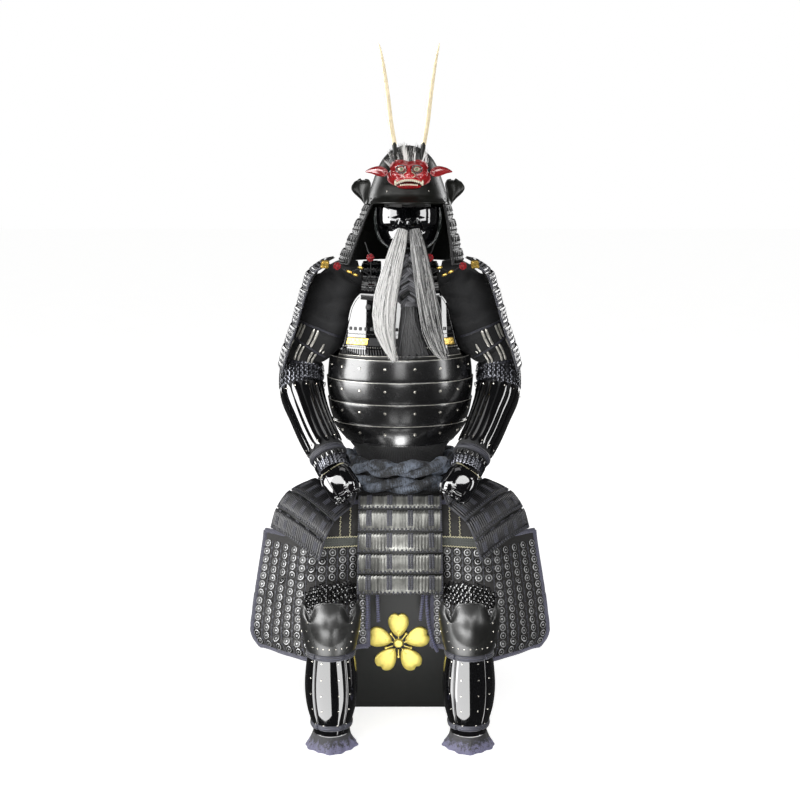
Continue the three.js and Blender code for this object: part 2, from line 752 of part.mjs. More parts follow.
// The apron hangs over the lid's front edge, swells forward over the thigh and turns back round its outside.
function apronPoint(side, across, { down, edge }, deeper) {
  const { inner, topInner, topOuter, bottom, lidEdge } = APRON_PLACE;
  const x = lerp(inner, edge, across);
  const z = lerp(lerp(topInner, topOuter, smooth(across, 0.1, 0.85)), bottom, down);
  const hang = z > lidEdge ? 0.6 * (z - lidEdge) : -0.05 * (lidEdge - z);
  const swell = lerp(4, 96, smooth(lidEdge - z, -30, 330)) * smooth(across, 0.04, 0.44);
  const turn = 108 * smooth(across, 0.46, 1.1);
  return new THREE.Vector3(side * x, -217 + hang - swell + turn + deeper, z);
}

function thighGuard(side) {
  const columns = 14;
  const surface = (deeper) =>
    APRON.map((row) => range(columns).map((j) => apronPoint(side, j / (columns - 1), row, deeper)));
  return wall(surface(0), surface(CLOTH));
}

// ---------------------------------------------------------------- knee plates and shin guards

// Heights down the leg, with half width and half depth of the plates.
const KNEE = [
  { z: 378, wide: 66, deep: 48, lean: -12 },
  { z: 352, wide: 73, deep: 62, lean: -10 },
  { z: 318, wide: 73, deep: 70, lean: -6 },
  { z: 284, wide: 68, deep: 68, lean: -2 },
  { z: 246, wide: 60, deep: 60, lean: 0 },
];
const SHIN = [
  { z: 245.5, wide: 55, deep: 56 },
  { z: 200, wide: 61, deep: 60 },
  { z: 150, wide: 64, deep: 62 },
  { z: 100, wide: 59, deep: 57 },
  { z: 58, wide: 48, deep: 49 },
  { z: 36, wide: 44, deep: 46 },
];
const ANKLE = [
  { z: 35.5, wide: 45, deep: 47 },
  { z: 18, wide: 52, deep: 56 },
  { z: 0, wide: 64, deep: 68 },
];

function legRows(rows, side, reach, columns, thin, dip = () => 0) {
  return rows.map(({ z, wide, deep, lean = 0 }, i) =>
    arcRow(
      {
        x: side * LEG.x,
        y: LEG.y + lean,
        z,
        wide: wide - thin,
        deep: deep - thin,
        from: -radians(reach),
        to: radians(reach),
      },
      columns,
    ).map((p) => p.setZ(p.z - dip(i, p.x - side * LEG.x))),
  );
}

// The knee plate's top edge: a dome in the middle, a notch each side of it, and a wing beyond.
const kneeDip = (row, off) => (row === 0 ? 26 * Math.exp(-(((Math.abs(off) - 46) / 13) ** 2)) : 0);

function leg(side, name) {
  const suffix = side > 0 ? "left" : "right";
  const knee = (thin) => legRows(KNEE, side, 100, 15, thin, kneeDip);
  piece(`knee_plate_${suffix}`, wall(knee(0), knee(PLATE)), lacquer);
  const shin = (thin) => legRows(SHIN, side, 140, 15, thin);
  piece(`shin_guard_${suffix}`, wall(shin(0), shin(PLATE)), lacquer);
  const hem = (thin) => legRows(ANKLE, side, 140, 13, thin);
  piece(`ankle_hem_${suffix}`, wall(hem(0), hem(CLOTH)), blackCloth);
}

// ---------------------------------------------------------------- hanging ties of the thigh guards

const TIES = {
  tie_left_long: [[68, -236, 331], [68, -239, 290], [72, -240, 250], [80, -240, 210], [90, -239, 180], [96, -238, 168]],
  tie_left_short: [[59, -236, 331], [57, -239, 306], [54, -240, 280], [52, -240, 252]],
  tie_right_long: [[-84, -236, 331], [-83, -239, 300], [-83, -240, 262], [-85, -240, 230]],
  tie_right_short: [[-58, -236, 331], [-57, -239, 304], [-56, -240, 276], [-55, -240, 248]],
};
const TIE_RADIUS = 4.5;

function ties() {
  Object.entries(TIES).forEach(([name, route]) => {
    const curve = new THREE.CatmullRomCurve3(route.map(([x, y, z]) => new THREE.Vector3(x, y, z)));
    const steps = 2 * route.length;
    const rows = curve.getPoints(steps).map(({ x, y, z }) => ({ x, y, z, a: TIE_RADIUS, b: TIE_RADIUS }));
    piece(name, loft(pathRings(rows, 8, new THREE.Vector3(1, 0, 0))), navyCord);
  });
}

// ---------------------------------------------------------------- the whole armour

armourBox();
stand();
helmetBowl();
helmetPeak();
neckGuard();
pair("turn_back", turnBack, lacquer);
crest();
faceMask();
moustache();
chestKnot();
piece("cuirass_front", cuirassHalf(false), lacquer);
piece("cuirass_back", cuirassHalf(true), lacquer);
piece("chest_plate", chestHalf(false), lacquer);
piece("back_plate", chestHalf(true), lacquer);
pair("shoulder_strap", shoulderStrap, lacquer);
pair("shoulder_guard", shoulderGuard, lacquer);
pair("sleeve", upperSleeve, blackCloth);
pair("forearm", forearm, blackCloth);
pair("hand_guard", handGuard, lacquer);
waist();
skirt();
pair("thigh_guard", thighGuard, blackCloth);
leg(1);
leg(-1);
ties();

export default armour;
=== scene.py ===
import math

import bpy
import numpy as np
from bpy.props import FloatProperty, FloatVectorProperty, IntProperty, PointerProperty
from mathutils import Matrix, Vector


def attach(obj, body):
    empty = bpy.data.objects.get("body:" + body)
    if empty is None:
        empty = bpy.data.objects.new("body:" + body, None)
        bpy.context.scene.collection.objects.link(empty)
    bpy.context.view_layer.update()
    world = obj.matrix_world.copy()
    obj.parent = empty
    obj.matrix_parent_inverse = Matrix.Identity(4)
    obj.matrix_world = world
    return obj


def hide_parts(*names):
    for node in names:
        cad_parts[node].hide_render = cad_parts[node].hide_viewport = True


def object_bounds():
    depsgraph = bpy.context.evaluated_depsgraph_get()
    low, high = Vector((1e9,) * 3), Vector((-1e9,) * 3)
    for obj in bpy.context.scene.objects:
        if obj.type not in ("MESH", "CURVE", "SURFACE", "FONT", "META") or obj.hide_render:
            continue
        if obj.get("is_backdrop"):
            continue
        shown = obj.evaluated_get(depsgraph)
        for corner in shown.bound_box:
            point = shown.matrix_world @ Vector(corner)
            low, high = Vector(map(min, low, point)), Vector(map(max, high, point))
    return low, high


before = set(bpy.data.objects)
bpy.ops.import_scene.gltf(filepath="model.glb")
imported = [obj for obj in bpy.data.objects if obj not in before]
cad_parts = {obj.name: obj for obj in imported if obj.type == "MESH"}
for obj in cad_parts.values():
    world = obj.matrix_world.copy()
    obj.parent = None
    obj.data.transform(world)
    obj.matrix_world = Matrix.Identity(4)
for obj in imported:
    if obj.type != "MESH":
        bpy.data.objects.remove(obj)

bl_info = {
    "name": "Samurai armour on its box",
    "version": (1, 0, 0),
    "blender": (4, 5, 0),
    "location": "3D View > Sidebar > Armour",
    "description": "Lacquered plates, laced scales, mail, cloth and hair of a seated samurai armour",
    "category": "Add Mesh",
}

# Metres, +Z up. The wearer faces -Y, so the wearer's left is +X. Tables are written in millimetres.
MM = 0.001
CAD_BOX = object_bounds()
FORWARD, RIGHTWARDS, UPWARDS = np.array([0, -1.0, 0]), np.array([1.0, 0, 0]), np.array([0, 0, 1.0])


# ---------------------------------------------------------------- numbers and tables


def mm(rows):
    """A table written in millimetres, turned to metres."""
    return np.array(rows, float) * MM


def evenly_round(count):
    """So many angles evenly round a turn, from 0."""
    return np.linspace(0, 2 * np.pi, count, endpoint=False)


def neighbours(edges):
    """Each value with the one after it."""
    return zip(edges[:-1], edges[1:])


def mix(first, second, share):
    """Goes evenly from the first value to the second as the share goes from 0 to 1."""
    return first + (second - first) * share


def ease(value, low, high):
    """Goes smoothly from 0 at low to 1 at high."""
    t = np.clip((value - low) / (high - low), 0, 1)
    return t * t * (3 - 2 * t)


def bump(value, middle, width):
    """A bell of height 1 around the middle."""
    return np.exp(-(((value - middle) / width) ** 2))


def unit(vectors):
    """The same directions, each one unit long."""
    return vectors / np.maximum(np.linalg.norm(vectors, axis=-1, keepdims=True), 1e-12)


def along(rows, at):
    """Reads a table at places along its first column: a cubic through its rows, with their mean slopes."""
    rows = np.asarray(rows, float)
    if rows[0, 0] > rows[-1, 0]:
        rows = rows[::-1]
    key, values = rows[:, 0], rows[:, 1:]
    at = np.clip(np.asarray(at, float), key[0], key[-1])
    k = np.clip(np.searchsorted(key, at, side="right") - 1, 0, len(key) - 2)
    slope = np.gradient(values, key, axis=0)
    span = (key[k + 1] - key[k])[..., None]
    s = (at - key[k])[..., None] / span
    return (
        (1 + 2 * s) * (1 - s) ** 2 * values[k]
        + s * (1 - s) ** 2 * span * slope[k]
        + s * s * (3 - 2 * s) * values[k + 1]
        + s * s * (s - 1) * span * slope[k + 1]
    )


def spaced(rows):
    """A table of points with their shares from 0 to 1 as its first column."""
    rows = np.asarray(rows, float)
    return np.column_stack([np.linspace(0, 1, len(rows)), rows])


def columns_of(table):
    """A table's columns, one after another."""
    return np.moveaxis(table, -1, 0)


def stack(x, y, z):
    """Points from their three coordinates."""
    return np.stack(np.broadcast_arrays(x, y, z), -1)


def together(across, down):
    """Two places as arrays of numbers, spread to one shape."""
    return np.broadcast_arrays(np.asarray(across, float), np.asarray(down, float))


def line_length(points, axis=0):
    """The mean length of a grid's lines along an axis: the sum of the distances from point to point."""
    return float(np.linalg.norm(np.diff(points, axis=axis), axis=-1).sum(axis).mean())


def round_point(x, y, z, wide, deep, angle):
    """A point of a level ellipse round (x, y): half its width times the angle's sine to the wearer's left,
    and half its depth times the cosine forward. Angle 0 faces the front."""
    return stack(x + wide * np.sin(angle), y - deep * np.cos(angle), z)


# ---------------------------------------------------------------- shapes from arrays


class Shape:
    """Points, faces of three or four corners (-1 for none), a pattern place per corner and a shade per
    point."""

    def __init__(self, points, faces, pattern=None, shade=None, finish=0):
        """finish is a number among the piece's finishes, or one such number per face."""
        self.points = np.asarray(points, float)
        self.faces = np.asarray(faces, int)
        blank = np.zeros((*self.faces.shape, 2))
        self.pattern = blank if pattern is None else np.asarray(pattern, float)
        self.shade = np.full(len(self.points), 0.5) if shade is None else np.asarray(shade, float)
        self.finish = np.full(len(self.faces), finish) if np.isscalar(finish) else finish

    def moved(self, by):
        """The same shape, moved by a distance along each axis."""
        return Shape(self.points + by, self.faces, self.pattern, self.shade, self.finish)

    def mirrored(self):
        """The same shape on the other side of the middle plane, with its faces turned back outwards."""
        points = self.points * [-1, 1, 1]
        faces, pattern = turned_over(self)
        return Shape(points, faces, pattern, self.shade, self.finish)


def turned_over(shape):
    """A shape's faces and their pattern places with their corners in the other order."""
    three = shape.faces[:, 3:] < 0
    faces = np.where(three, shape.faces[:, [2, 1, 0, 3]], shape.faces[:, ::-1])
    return faces, np.where(three[..., None], shape.pattern[:, [2, 1, 0, 3]], shape.pattern[:, ::-1])


def joined(shapes):
    """Several shapes as one."""
    starts = np.cumsum([0] + [len(s.points) for s in shapes[:-1]])
    faces = [np.where(s.faces < 0, -1, s.faces + n) for s, n in zip(shapes, starts)]
    return Shape(
        np.concatenate([s.points for s in shapes]),
        np.concatenate(faces),
        np.concatenate([s.pattern for s in shapes]),
        np.concatenate([s.shade for s in shapes]),
        np.concatenate([s.finish for s in shapes]),
    )


def outward(shape):
    """Turns a closed shape's faces outwards, by the sign of its volume."""
    a, b, c, d = (shape.points[shape.faces[:, k]] for k in range(4))
    volume = np.einsum("ij,ij->", a, np.cross(b, c))
    four = shape.faces[:, 3] >= 0
    volume += np.einsum("ij,ij->", a[four], np.cross(c[four], d[four]))
    if volume < 0:
        shape.faces, shape.pattern = turned_over(shape)
    return shape


def grid_faces(rows, columns, wrap=False):
    """Quads of a grid of points and each corner's share across and down. wrap joins the last column to the
    first."""
    spans = columns if wrap else columns - 1
    i, j = np.meshgrid(np.arange(rows - 1), np.arange(spans), indexing="ij")
    i, j = i.ravel(), j.ravel()
    k = (j + 1) % columns
    quads = np.stack([i * columns + j, i * columns + k, (i + 1) * columns + k, (i + 1) * columns + j], -1)
    across = np.stack([j, j + 1, j + 1, j], -1) / spans
    down = np.stack([i, i, i + 1, i + 1], -1) / (rows - 1)
    return quads, np.stack([across, down], -1)


def wall(outer, inner, wrap=False, size=(1, 1), finish=0, shade=0.5):
    """A closed wall between two grids of points. size is the pattern's width and length over the wall."""
    rows, columns = outer.shape[:2]
    count = rows * columns
    quads, share = grid_faces(rows, columns, wrap)
    if wrap:
        top = np.arange(columns)
        bottom = top + (rows - 1) * columns
        a = np.concatenate([top, np.roll(bottom, -1)])
        b = np.concatenate([np.roll(top, -1), bottom])
    else:
        a = np.concatenate([
            np.arange(columns - 1),
            np.arange(rows - 1) * columns + columns - 1,
            (rows - 1) * columns + np.arange(columns - 1, 0, -1),
            np.arange(rows - 1, 0, -1) * columns,
        ])
        b = np.roll(a, -1)
    rim = np.stack([b, a, a + count, b + count], -1)
    places = np.stack([(rim % columns) / columns, (rim % count) // columns / (rows - 1)], -1)
    shade = np.broadcast_to(shade, (rows, columns)).ravel()
    return outward(Shape(
        np.concatenate([outer.reshape(-1, 3), inner.reshape(-1, 3)]),
        np.concatenate([quads, quads[:, ::-1] + count, rim]),
        np.concatenate([share, share[:, ::-1], places]) * size,
        np.concatenate([shade, shade]),
        finish,
    ))


def normals(points, wrap=False):
    """A grid's unit normals: its slope down crossed with its slope across."""
    if wrap:
        across = np.roll(points, -1, 1) - np.roll(points, 1, 1)
    else:
        across = np.gradient(points, axis=1)
    return unit(np.cross(np.gradient(points, axis=0), across))


def lathe(rings, size=(1, 1), shade=0.5):
    """A solid through rings of points, its first and last ring closed by a fan to their middle."""
    rows, columns = rings.shape[:2]
    quads, share = grid_faces(rows, columns, True)
    count = rows * columns
    top = np.arange(columns)
    last = top + (rows - 1) * columns
    blank = np.full(columns, -1)
    fans = np.concatenate([
        np.stack([np.roll(top, -1), top, np.full(columns, count), blank], -1),
        np.stack([last, np.roll(last, -1), np.full(columns, count + 1), blank], -1),
    ])
    middles = np.stack([rings[0].mean(0), rings[-1].mean(0)])
    edge = np.concatenate([np.zeros(columns), np.ones(columns)])
    places = np.stack([np.broadcast_to(edge[:, None], fans.shape)] * 2, -1)
    shades = np.append(np.broadcast_to(shade, (rows, columns)).ravel(), [np.mean(shade)] * 2)
    return outward(Shape(
        np.concatenate([rings.reshape(-1, 3), middles]),
        np.concatenate([quads, fans]),
        np.concatenate([share, places]) * size,
        shades,
    ))


def repeated(form, points, shades, finish):
    """Copies of a form's faces over sets of points, one set per copy."""
    copies, count = points.shape[:2]
    starts = (np.arange(copies) * count)[:, None, None]
    faces = np.where(form.faces[None] < 0, -1, form.faces[None] + starts).reshape(-1, 4)
    pattern = np.broadcast_to(form.pattern[None], (copies, *form.pattern.shape)).reshape(-1, 4, 2)
    if shades is None:
        shades = np.full(copies, 0.5)
    shade = np.broadcast_to(np.reshape(shades, (copies, -1)), (copies, count)).ravel()
    return Shape(points.reshape(-1, 3), faces, pattern, shade, finish)


def cords(paths, across, out, facing, sides=6, loop=False, finish=0, shades=None):
    """Tubes along many paths at once. Each ring is an ellipse square to its path: `across` is its half
    width and `out` its half height towards facing. Its pattern runs once round and by the metre along
    the first path."""
    paths = np.asarray(paths, float)
    copies, rows = paths.shape[:2]
    if loop:
        ahead = np.roll(paths, -1, 1) - np.roll(paths, 1, 1)
    else:
        ahead = np.gradient(paths, axis=1)
    ahead = unit(ahead)
    side = unit(np.cross(ahead, np.broadcast_to(facing, paths.shape)))
    up = np.cross(side, ahead)
    turn = evenly_round(sides)[:, None]
    wide = np.broadcast_to(across, (copies, rows))[..., None, None]
    high = np.broadcast_to(out, (copies, rows))[..., None, None]
    rings = paths[:, :, None] + wide * np.cos(turn) * side[:, :, None] + high * np.sin(turn) * up[:, :, None]
    run = line_length(paths[0])
    if loop:
        quads, share = grid_faces(rows + 1, sides, True)
        form = Shape(rings[0].reshape(-1, 3), quads % (rows * sides), share * [1, run])
        points = rings.reshape(copies, -1, 3)
    else:
        form = lathe(rings[0], (1, run))
        ends = np.stack([paths[:, 0], paths[:, -1]], 1)
        points = np.concatenate([rings.reshape(copies, -1, 3), ends], 1)
    if shades is not None and np.ndim(shades) == 2:
        shades = np.repeat(shades, sides, 1)
        shades = shades if loop else np.concatenate([shades, shades[:, [0, -1]]], 1)
    return outward(repeated(form, points, shades, finish))


def stamp(form, at, across, up, out, finish=0, shades=None):
    """Copies of a small form, each at its own place with its own three axes, whose lengths scale it."""
    at = np.reshape(at, (-1, 3))
    axes = [np.broadcast_to(a, at.shape)[:, None] for a in (across, up, out)]
    points = at[:, None] + sum(form.points[None, :, k:k + 1] * axes[k] for k in range(3))
    return outward(repeated(form, points, shades, finish))


def pillow(sides, square, rows, heights):
    """A low rounded button one unit across to each side, through rings that shrink by rows at its heights:
    its outline is an ellipse, squarer as square grows, and its crown stands 0.2 over its last ring."""
    turn = evenly_round(sides) + np.pi / sides
    c, s = np.cos(turn), np.sin(turn)
    x = np.sign(c) * np.abs(c) ** (2 / square)
    y = np.sign(s) * np.abs(s) ** (2 / square)
    rings = np.stack([stack(r * x, r * y, h) for r, h in zip(rows, heights)])
    form = lathe(rings)
    form.points[-1, 2] += 0.2
    return form


RIVET = pillow(8, 2, (1, 0.7), (-0.3, 0.65))
TILE = pillow(8, 6, (1, 0.9), (-0.4, 0.6))
KNOT = pillow(6, 2.4, (1, 0.6), (-0.3, 0.6))
STITCH = pillow(5, 2.4, (1, 0.7), (-0.5, 0.8))
TOOTH = pillow(3, 2, (1, 0.95, 0.5), (-0.3, 0.4, 0.8))


def frames(surface, across, down):
    """Places on a surface, with its unit axes across, up and out. The surface faces out when its slope down
    crossed with its slope across does."""
    across, down = together(across, down)
    step = 0.002
    here = surface(across, down)
    slope_a = surface(across + step, down) - surface(across - step, down)
    slope_d = surface(across, down + step) - surface(across, down - step)
    out = unit(np.cross(slope_d, slope_a))
    right = unit(slope_a)
    return here, right, np.cross(out, right), out


def on_surface(surface, across, down, height):
    """Points that stand off a surface by a height, and the way out there."""
    here, _, _, out = frames(surface, across, down)
    return here + out * np.asarray(height)[..., None], out


# ---------------------------------------------------------------- pieces


def make_piece(name, shapes, finishes, slot, replaces=(), sharp=40):
    """One object from shapes: points and faces go in as whole arrays, and edges over the sharp angle stay
    sharp."""
    whole = joined(shapes)
    used = whole.faces >= 0
    mesh = bpy.data.meshes.new(name)
    mesh.vertices.add(len(whole.points))
    mesh.vertices.foreach_set("co", whole.points.astype(np.float32).ravel())
    corners = whole.faces[used]
    starts = np.concatenate([[0], np.cumsum(used.sum(1))[:-1]])
    mesh.loops.add(len(corners))
    mesh.polygons.add(len(whole.faces))
    mesh.polygons.foreach_set("loop_start", starts.astype(np.int32))
    mesh.polygons.foreach_set("vertices", corners.astype(np.int32))
    mesh.polygons.foreach_set("material_index", np.asarray(whole.finish, np.int32))
    mesh.polygons.foreach_set("use_smooth", np.ones(len(whole.faces), bool))
    mesh.uv_layers.new(name="pattern").uv.foreach_set("vector",
                                                      whole.pattern[used].astype(np.float32).ravel())
    mesh.attributes.new("shade", "FLOAT", "POINT").data.foreach_set("value", whole.shade.astype(np.float32))
    mesh.update(calc_edges=True)
    mesh.set_sharp_from_angle(angle=math.radians(sharp))
    for finish in finishes:
        mesh.materials.append(material(finish))
    piece = bpy.data.objects.new(name, mesh)
    bpy.context.scene.collection.objects.link(piece)
    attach(piece, "root")
    if replaces:
        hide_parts(*replaces)
    return piece


def make_pair(name, shapes, finishes, slot, nodes=(), **rest):
    """The wearer's left piece, and the right one mirrored from it. nodes are the CAD names without their
    side."""
    left = make_piece(f"{name}_left", shapes, finishes, slot, [f"{n}_left" for n in nodes], **rest)
    turned = [s.mirrored() for s in shapes]
    right = make_piece(f"{name}_right", turned, finishes, slot, [f"{n}_right" for n in nodes], **rest)
    return left, right


def placed(shapes, side, by):
    """Shapes of the wearer's left side, or their mirror images for the right, moved from the middle plane."""
    return [outward((s if side == "left" else s.mirrored()).moved(by)) for s in shapes]


# ---------------------------------------------------------------- settings


def linear(code):
    """The linear colour of an sRGB hex code."""
    s = np.array([int(code[k:k + 2], 16) for k in (1, 3, 5)]) / 255
    return (*np.where(s <= 0.04045, s / 12.92, ((s + 0.055) / 1.055) ** 2.4), 1.0)


def tone(name, description, code):
    """A colour setting with an sRGB default."""
    return FloatVectorProperty(name=name, description=description, default=linear(code)[:3], size=3, min=0,
                               max=1, subtype="COLOR")


def length(name, description, default, least, most):
    """A length setting in metres."""
    return FloatProperty(name=name, description=description, default=default, min=least, max=most,
                         unit="LENGTH")


class ArmourColours(bpy.types.PropertyGroup):
    """The light tone of each finish; its dark tone is a share of it"""

    polished_lacquer: tone("Polished lacquer", "Black lacquer of mask, chest, splints and shins", "#0e0e11")
    rubbed_lacquer: tone("Rubbed lacquer", "Black lacquer of the trunk plates", "#131315")
    charcoal_lacquer: tone("Charcoal lacquer", "Satin lacquer of bowl, peak and turn-backs", "#1c1d18")
    mask_rim: tone("Mask rim", "Grey-green lacquer of the mask's rim bands", "#5c6462")
    knee_lacquer: tone("Knee lacquer", "Charcoal lacquer of the knee domes", "#1b1c19")
    rubbed_leather: tone("Rubbed leather", "Lacquered leather of the thigh lames", "#1c1b21")
    pewter_lacquer: tone("Pewter lacquer", "Lames of the front skirt", "#84847f")
    scale_lacquer: tone("Scale lacquer", "Lacquered leather scales", "#1b1a1a")
    box_lacquer: tone("Box lacquer", "Lacquered boards of the box", "#20211f")
    vermilion_lacquer: tone("Vermilion", "The demon face and ears", "#c8141d")
    # Steel also colours the pale seam cords of the trunk plates, which are painted highlights of their lit
    # edges.
    steel_and_painted_highlight: tone("Steel", "Small splints and seam lines", "#e2dfd6")
    silvered_iron: tone("Silvered iron", "Ringed plates of the thigh guards", "#c4c4c6")
    rivet_nickel: tone("Nickel", "Rivet heads", "#c9c5bb")
    mail_iron: tone("Mail", "Iron rings of the mail", "#6a6b71")
    gilt_copper: tone("Gilt copper", "Plaques, toggles and fittings", "#ecc766")
    leaf_gold: tone("Leaf gold", "The blossom on the box", "#f3df6e")
    pale_gold: tone("Pale gold", "The horns", "#f3e3bd")
    bone: tone("Bone", "Teeth and eyes", "#f2e9cc")
    eye_enamel: tone("Eye enamel", "The irises", "#a8c283")
    sleeve_cloth: tone("Sleeve cotton", "Sleeves and waist cloth", "#0f1118")
    apron_cloth: tone("Thigh cloth", "Ground cloth of the thigh guards", "#211c18")
    grey_cloth: tone("Band cloth", "Figured band of the thigh guards", "#5f635c")
    lavender_cloth: tone("Binding", "Bound edges of the thigh guards", "#6c6c86")
    hem_cloth: tone("Hem cloth", "Printed cotton hems at the ankles", "#757394")
    belt_cotton: tone("Belt cotton", "The twisted belt", "#a6b3c9")
    lacing_braid: tone("Lacing", "Indigo lacing braid", "#3d3e4e")
    black_braid: tone("Black lacing", "Black lacing braid", "#131317")
    tie_braid: tone("Ties", "Braid of the hanging ties", "#55567d")
    crimson_silk: tone("Pompoms", "Crimson silk floss", "#d4001f")
    cream_thread: tone("Stitching", "Cream sewing thread", "#fbf3c8")
    pale_horsehair: tone("Pale hair", "Horsehair of the moustache and tuft", "#fbfaf8")
    dark_horsehair: tone("Dark hair", "Horsehair of the tassel and plait", "#77777c")
    stained_pine: tone("Stand", "Stained pine of the stand", "#2a2019")


class ArmourSizes(bpy.types.PropertyGroup):
    """Sizes and counts a user may change"""

    tie_diameter: length("Tie diameter", "Braided ties beside the box", 0.009, 0.006, 0.01)
    cloth: length("Cloth thickness", "Sleeves, thigh cloths and hems", 0.0024, 0.001, 0.005)
    rivet: length("Rivet radius", "Rivet heads of the trunk plates", 0.0044, 0.002, 0.006)
    ply: length("Belt ply radius", "Each ply of the twisted belt", 0.0138, 0.01, 0.016)
    lace: length("Lace width", "Flat laces of skirt and shoulder guards", 0.0066, 0.003, 0.009)
    link: length("Mail ring radius", "Rings of the mail", 0.006, 0.004, 0.008)
    strand: length("Strand radius", "Strands of the moustache", 0.0008, 0.0004, 0.0015)
    stitch: length("Stitch length", "Zig-zag stitches", 0.0072, 0.004, 0.01)
    spacing: length("Plate spacing", "Rows of ringed plates on the thigh guards", 0.0195, 0.018, 0.034)
    strands: IntProperty(name="Strands", description="Strands of each hank of the moustache", default=390,
                         min=50, max=900)
    tuft: IntProperty(name="Tuft strands", description="Strands of the crest's tuft", default=420, min=50,
                      max=900)


def sizes():
    """The size settings of the open scene."""
    return bpy.context.scene.armour_sizes


# ---------------------------------------------------------------- materials


def add(tree, kind, inputs, output=0, **settings):
    """Adds a node with its settings. An input is a value, or the output that is linked to it. Returns an
    output."""
    node = tree.nodes.new("ShaderNode" + kind)
    for name, value in settings.items():
        setattr(node, name, value)
    for socket, value in inputs.items():
        if isinstance(value, bpy.types.NodeSocket):
            tree.links.new(value, node.inputs[socket])
        else:
            node.inputs[socket].default_value = value
    return node.outputs[output]


def surface_of(tree, blend, dark, light, dull, low, high, height, depth, span=(0.3, 0.75)):
    """Colour, roughness and relief. blend goes from the dark colour to the light one over a span of its
    values, dull from the low roughness to the high one, and height is the relief, as deep as depth in
    metres."""
    factor = add(tree, "MapRange", {"Value": blend, "From Min": span[0], "From Max": span[1]})
    shades = {0: factor, 6: (*dark, 1), 7: (*light, 1)}
    return {
        "Base Color": add(tree, "Mix", shades, 2, data_type="RGBA"),
        "Roughness": add(tree, "MapRange", {"Value": dull, "To Min": low, "To Max": high}),
        "Normal": add(tree, "Bump", {"Height": height, "Distance": depth}),
    }


# A wave texture of scale 1 repeats each 0.314 m.
WAVE_LENGTH = 0.314


def lacquer(low, high, wave, dark=0.35):
    """Lacquer laid by brush: slow waves about 45 mm long bend its reflections, and handling dulls it in
    patches 17 mm wide. low and high are its roughness, and dark is the share of the colour that its dark
    tone keeps."""

    def build(tree, colour, place, pattern, shade):
        slow = add(tree, "TexNoise", {"Vector": place, "Scale": 22.0, "Detail": 1.0})
        patches = add(tree, "TexNoise", {"Vector": place, "Scale": 60.0, "Detail": 5.0, "Roughness": 0.65})
        # The shade attribute adds to the handling patches. On the demon face it is painted shade in the
        # hollows and painted light on the ridges; elsewhere it is an even or random tone.
        wear_and_shade = add(tree, "Math", {0: patches, 1: shade}, operation="ADD")
        half = add(tree, "Math", {0: wear_and_shade, 1: 0.5}, operation="MULTIPLY")
        return surface_of(tree, half, colour * dark, colour, patches, low, high, slow, wave)

    return build


def hammered(low, high, grain=900.0, dark=0.55):
    """Metal with fine pits, grain of them to the metre, and duller patches about 8 mm wide. They are
    coarser than real pits, to show."""

    def build(tree, colour, place, pattern, shade):
        pits = add(tree, "TexNoise", {"Vector": place, "Scale": grain, "Detail": 3.0})
        cloud = add(tree, "TexNoise", {"Vector": place, "Scale": 120.0, "Detail": 3.0})
        return surface_of(tree, cloud, colour * dark, colour, cloud, low, high, pits, 0.00015)

    return build


def woven(thread, dark, wear=0.4, depth=0.0004, blotch=34.0, mottle=1.0, span=(0.3, 0.75)):
    """Plain-woven cloth. thread is a thread's width in metres: crossing sine waves make the checks, each
    crest a thread that lies over and each trough one that lies under. The shade lightens it by the share
    of wear, and patches at the blotch scale by the share of mottle."""

    def build(tree, colour, place, pattern, shade):
        sockets = {"Vector": pattern, "Scale": WAVE_LENGTH / (2 * thread), "Distortion": 0.0}
        warp = add(tree, "TexWave", sockets, 1, bands_direction="X")
        weft = add(tree, "TexWave", sockets, 1, bands_direction="Y")
        checks = add(tree, "Math", {0: warp, 1: weft}, operation="MAXIMUM")
        patches = add(tree, "TexNoise", {"Vector": place, "Scale": blotch, "Detail": 6.0, "Roughness": 0.7})
        spots = add(tree, "Math", {0: patches, 1: mottle}, operation="MULTIPLY")
        wear_and_shade = add(tree, "Math", {0: shade, 1: wear, 2: spots}, operation="MULTIPLY_ADD")
        lit = add(tree, "Math", {0: checks, 1: 0.3, 2: wear_and_shade}, operation="MULTIPLY_ADD")
        mean = add(tree, "Math", {0: lit, 1: 0.3 + mottle + wear}, operation="DIVIDE")
        return surface_of(tree, mean, colour * dark, colour, patches, 0.7, 0.95, checks, depth, span)

    return build


def plaited(pitch, dark=0.12):
    """A flat or round braid: strands slant one way over one half of the turn and back over the other. pitch
    is the width in metres of a rib, and of the hollow beside it."""

    def build(tree, colour, place, pattern, shade):
        around = add(tree, "SeparateXYZ", {"Vector": pattern})
        down = add(tree, "SeparateXYZ", {"Vector": pattern}, 1)
        fold = add(tree, "Math", {0: around, 1: 0.5}, operation="PINGPONG")
        slid = add(tree, "Math", {0: fold, 1: 2 * pitch, 2: down}, operation="MULTIPLY_ADD")
        turned = add(tree, "CombineXYZ", {"X": slid})
        ribs = add(tree, "TexWave", {"Vector": turned, "Scale": WAVE_LENGTH / (2 * pitch)}, 1)
        patches = add(tree, "TexNoise", {"Vector": place, "Scale": 90.0, "Detail": 4.0})
        both = add(tree, "Math", {0: ribs, 1: patches}, operation="ADD")
        lit = add(tree, "Math", {0: shade, 1: 0.6, 2: both}, operation="MULTIPLY_ADD")
        third = add(tree, "Math", {0: lit, 1: 0.45}, operation="MULTIPLY")
        return surface_of(tree, third, colour * dark, colour, patches, 0.45, 0.8, ribs, 0.0006)

    return build


def stranded(dark):
    """Hair or thread: each strand has its own shade, broken by flecks about 4 mm long."""

    def build(tree, colour, place, pattern, shade):
        streak = add(tree, "TexNoise", {"Vector": place, "Scale": 260.0, "Detail": 3.0})
        lit = add(tree, "Math", {0: streak, 1: 0.3, 2: shade}, operation="MULTIPLY_ADD")
        part = add(tree, "Math", {0: lit, 1: 0.85}, operation="MULTIPLY")
        return surface_of(tree, part, colour * dark, colour, streak, 0.4, 0.65, streak, 0.0001)

    return build


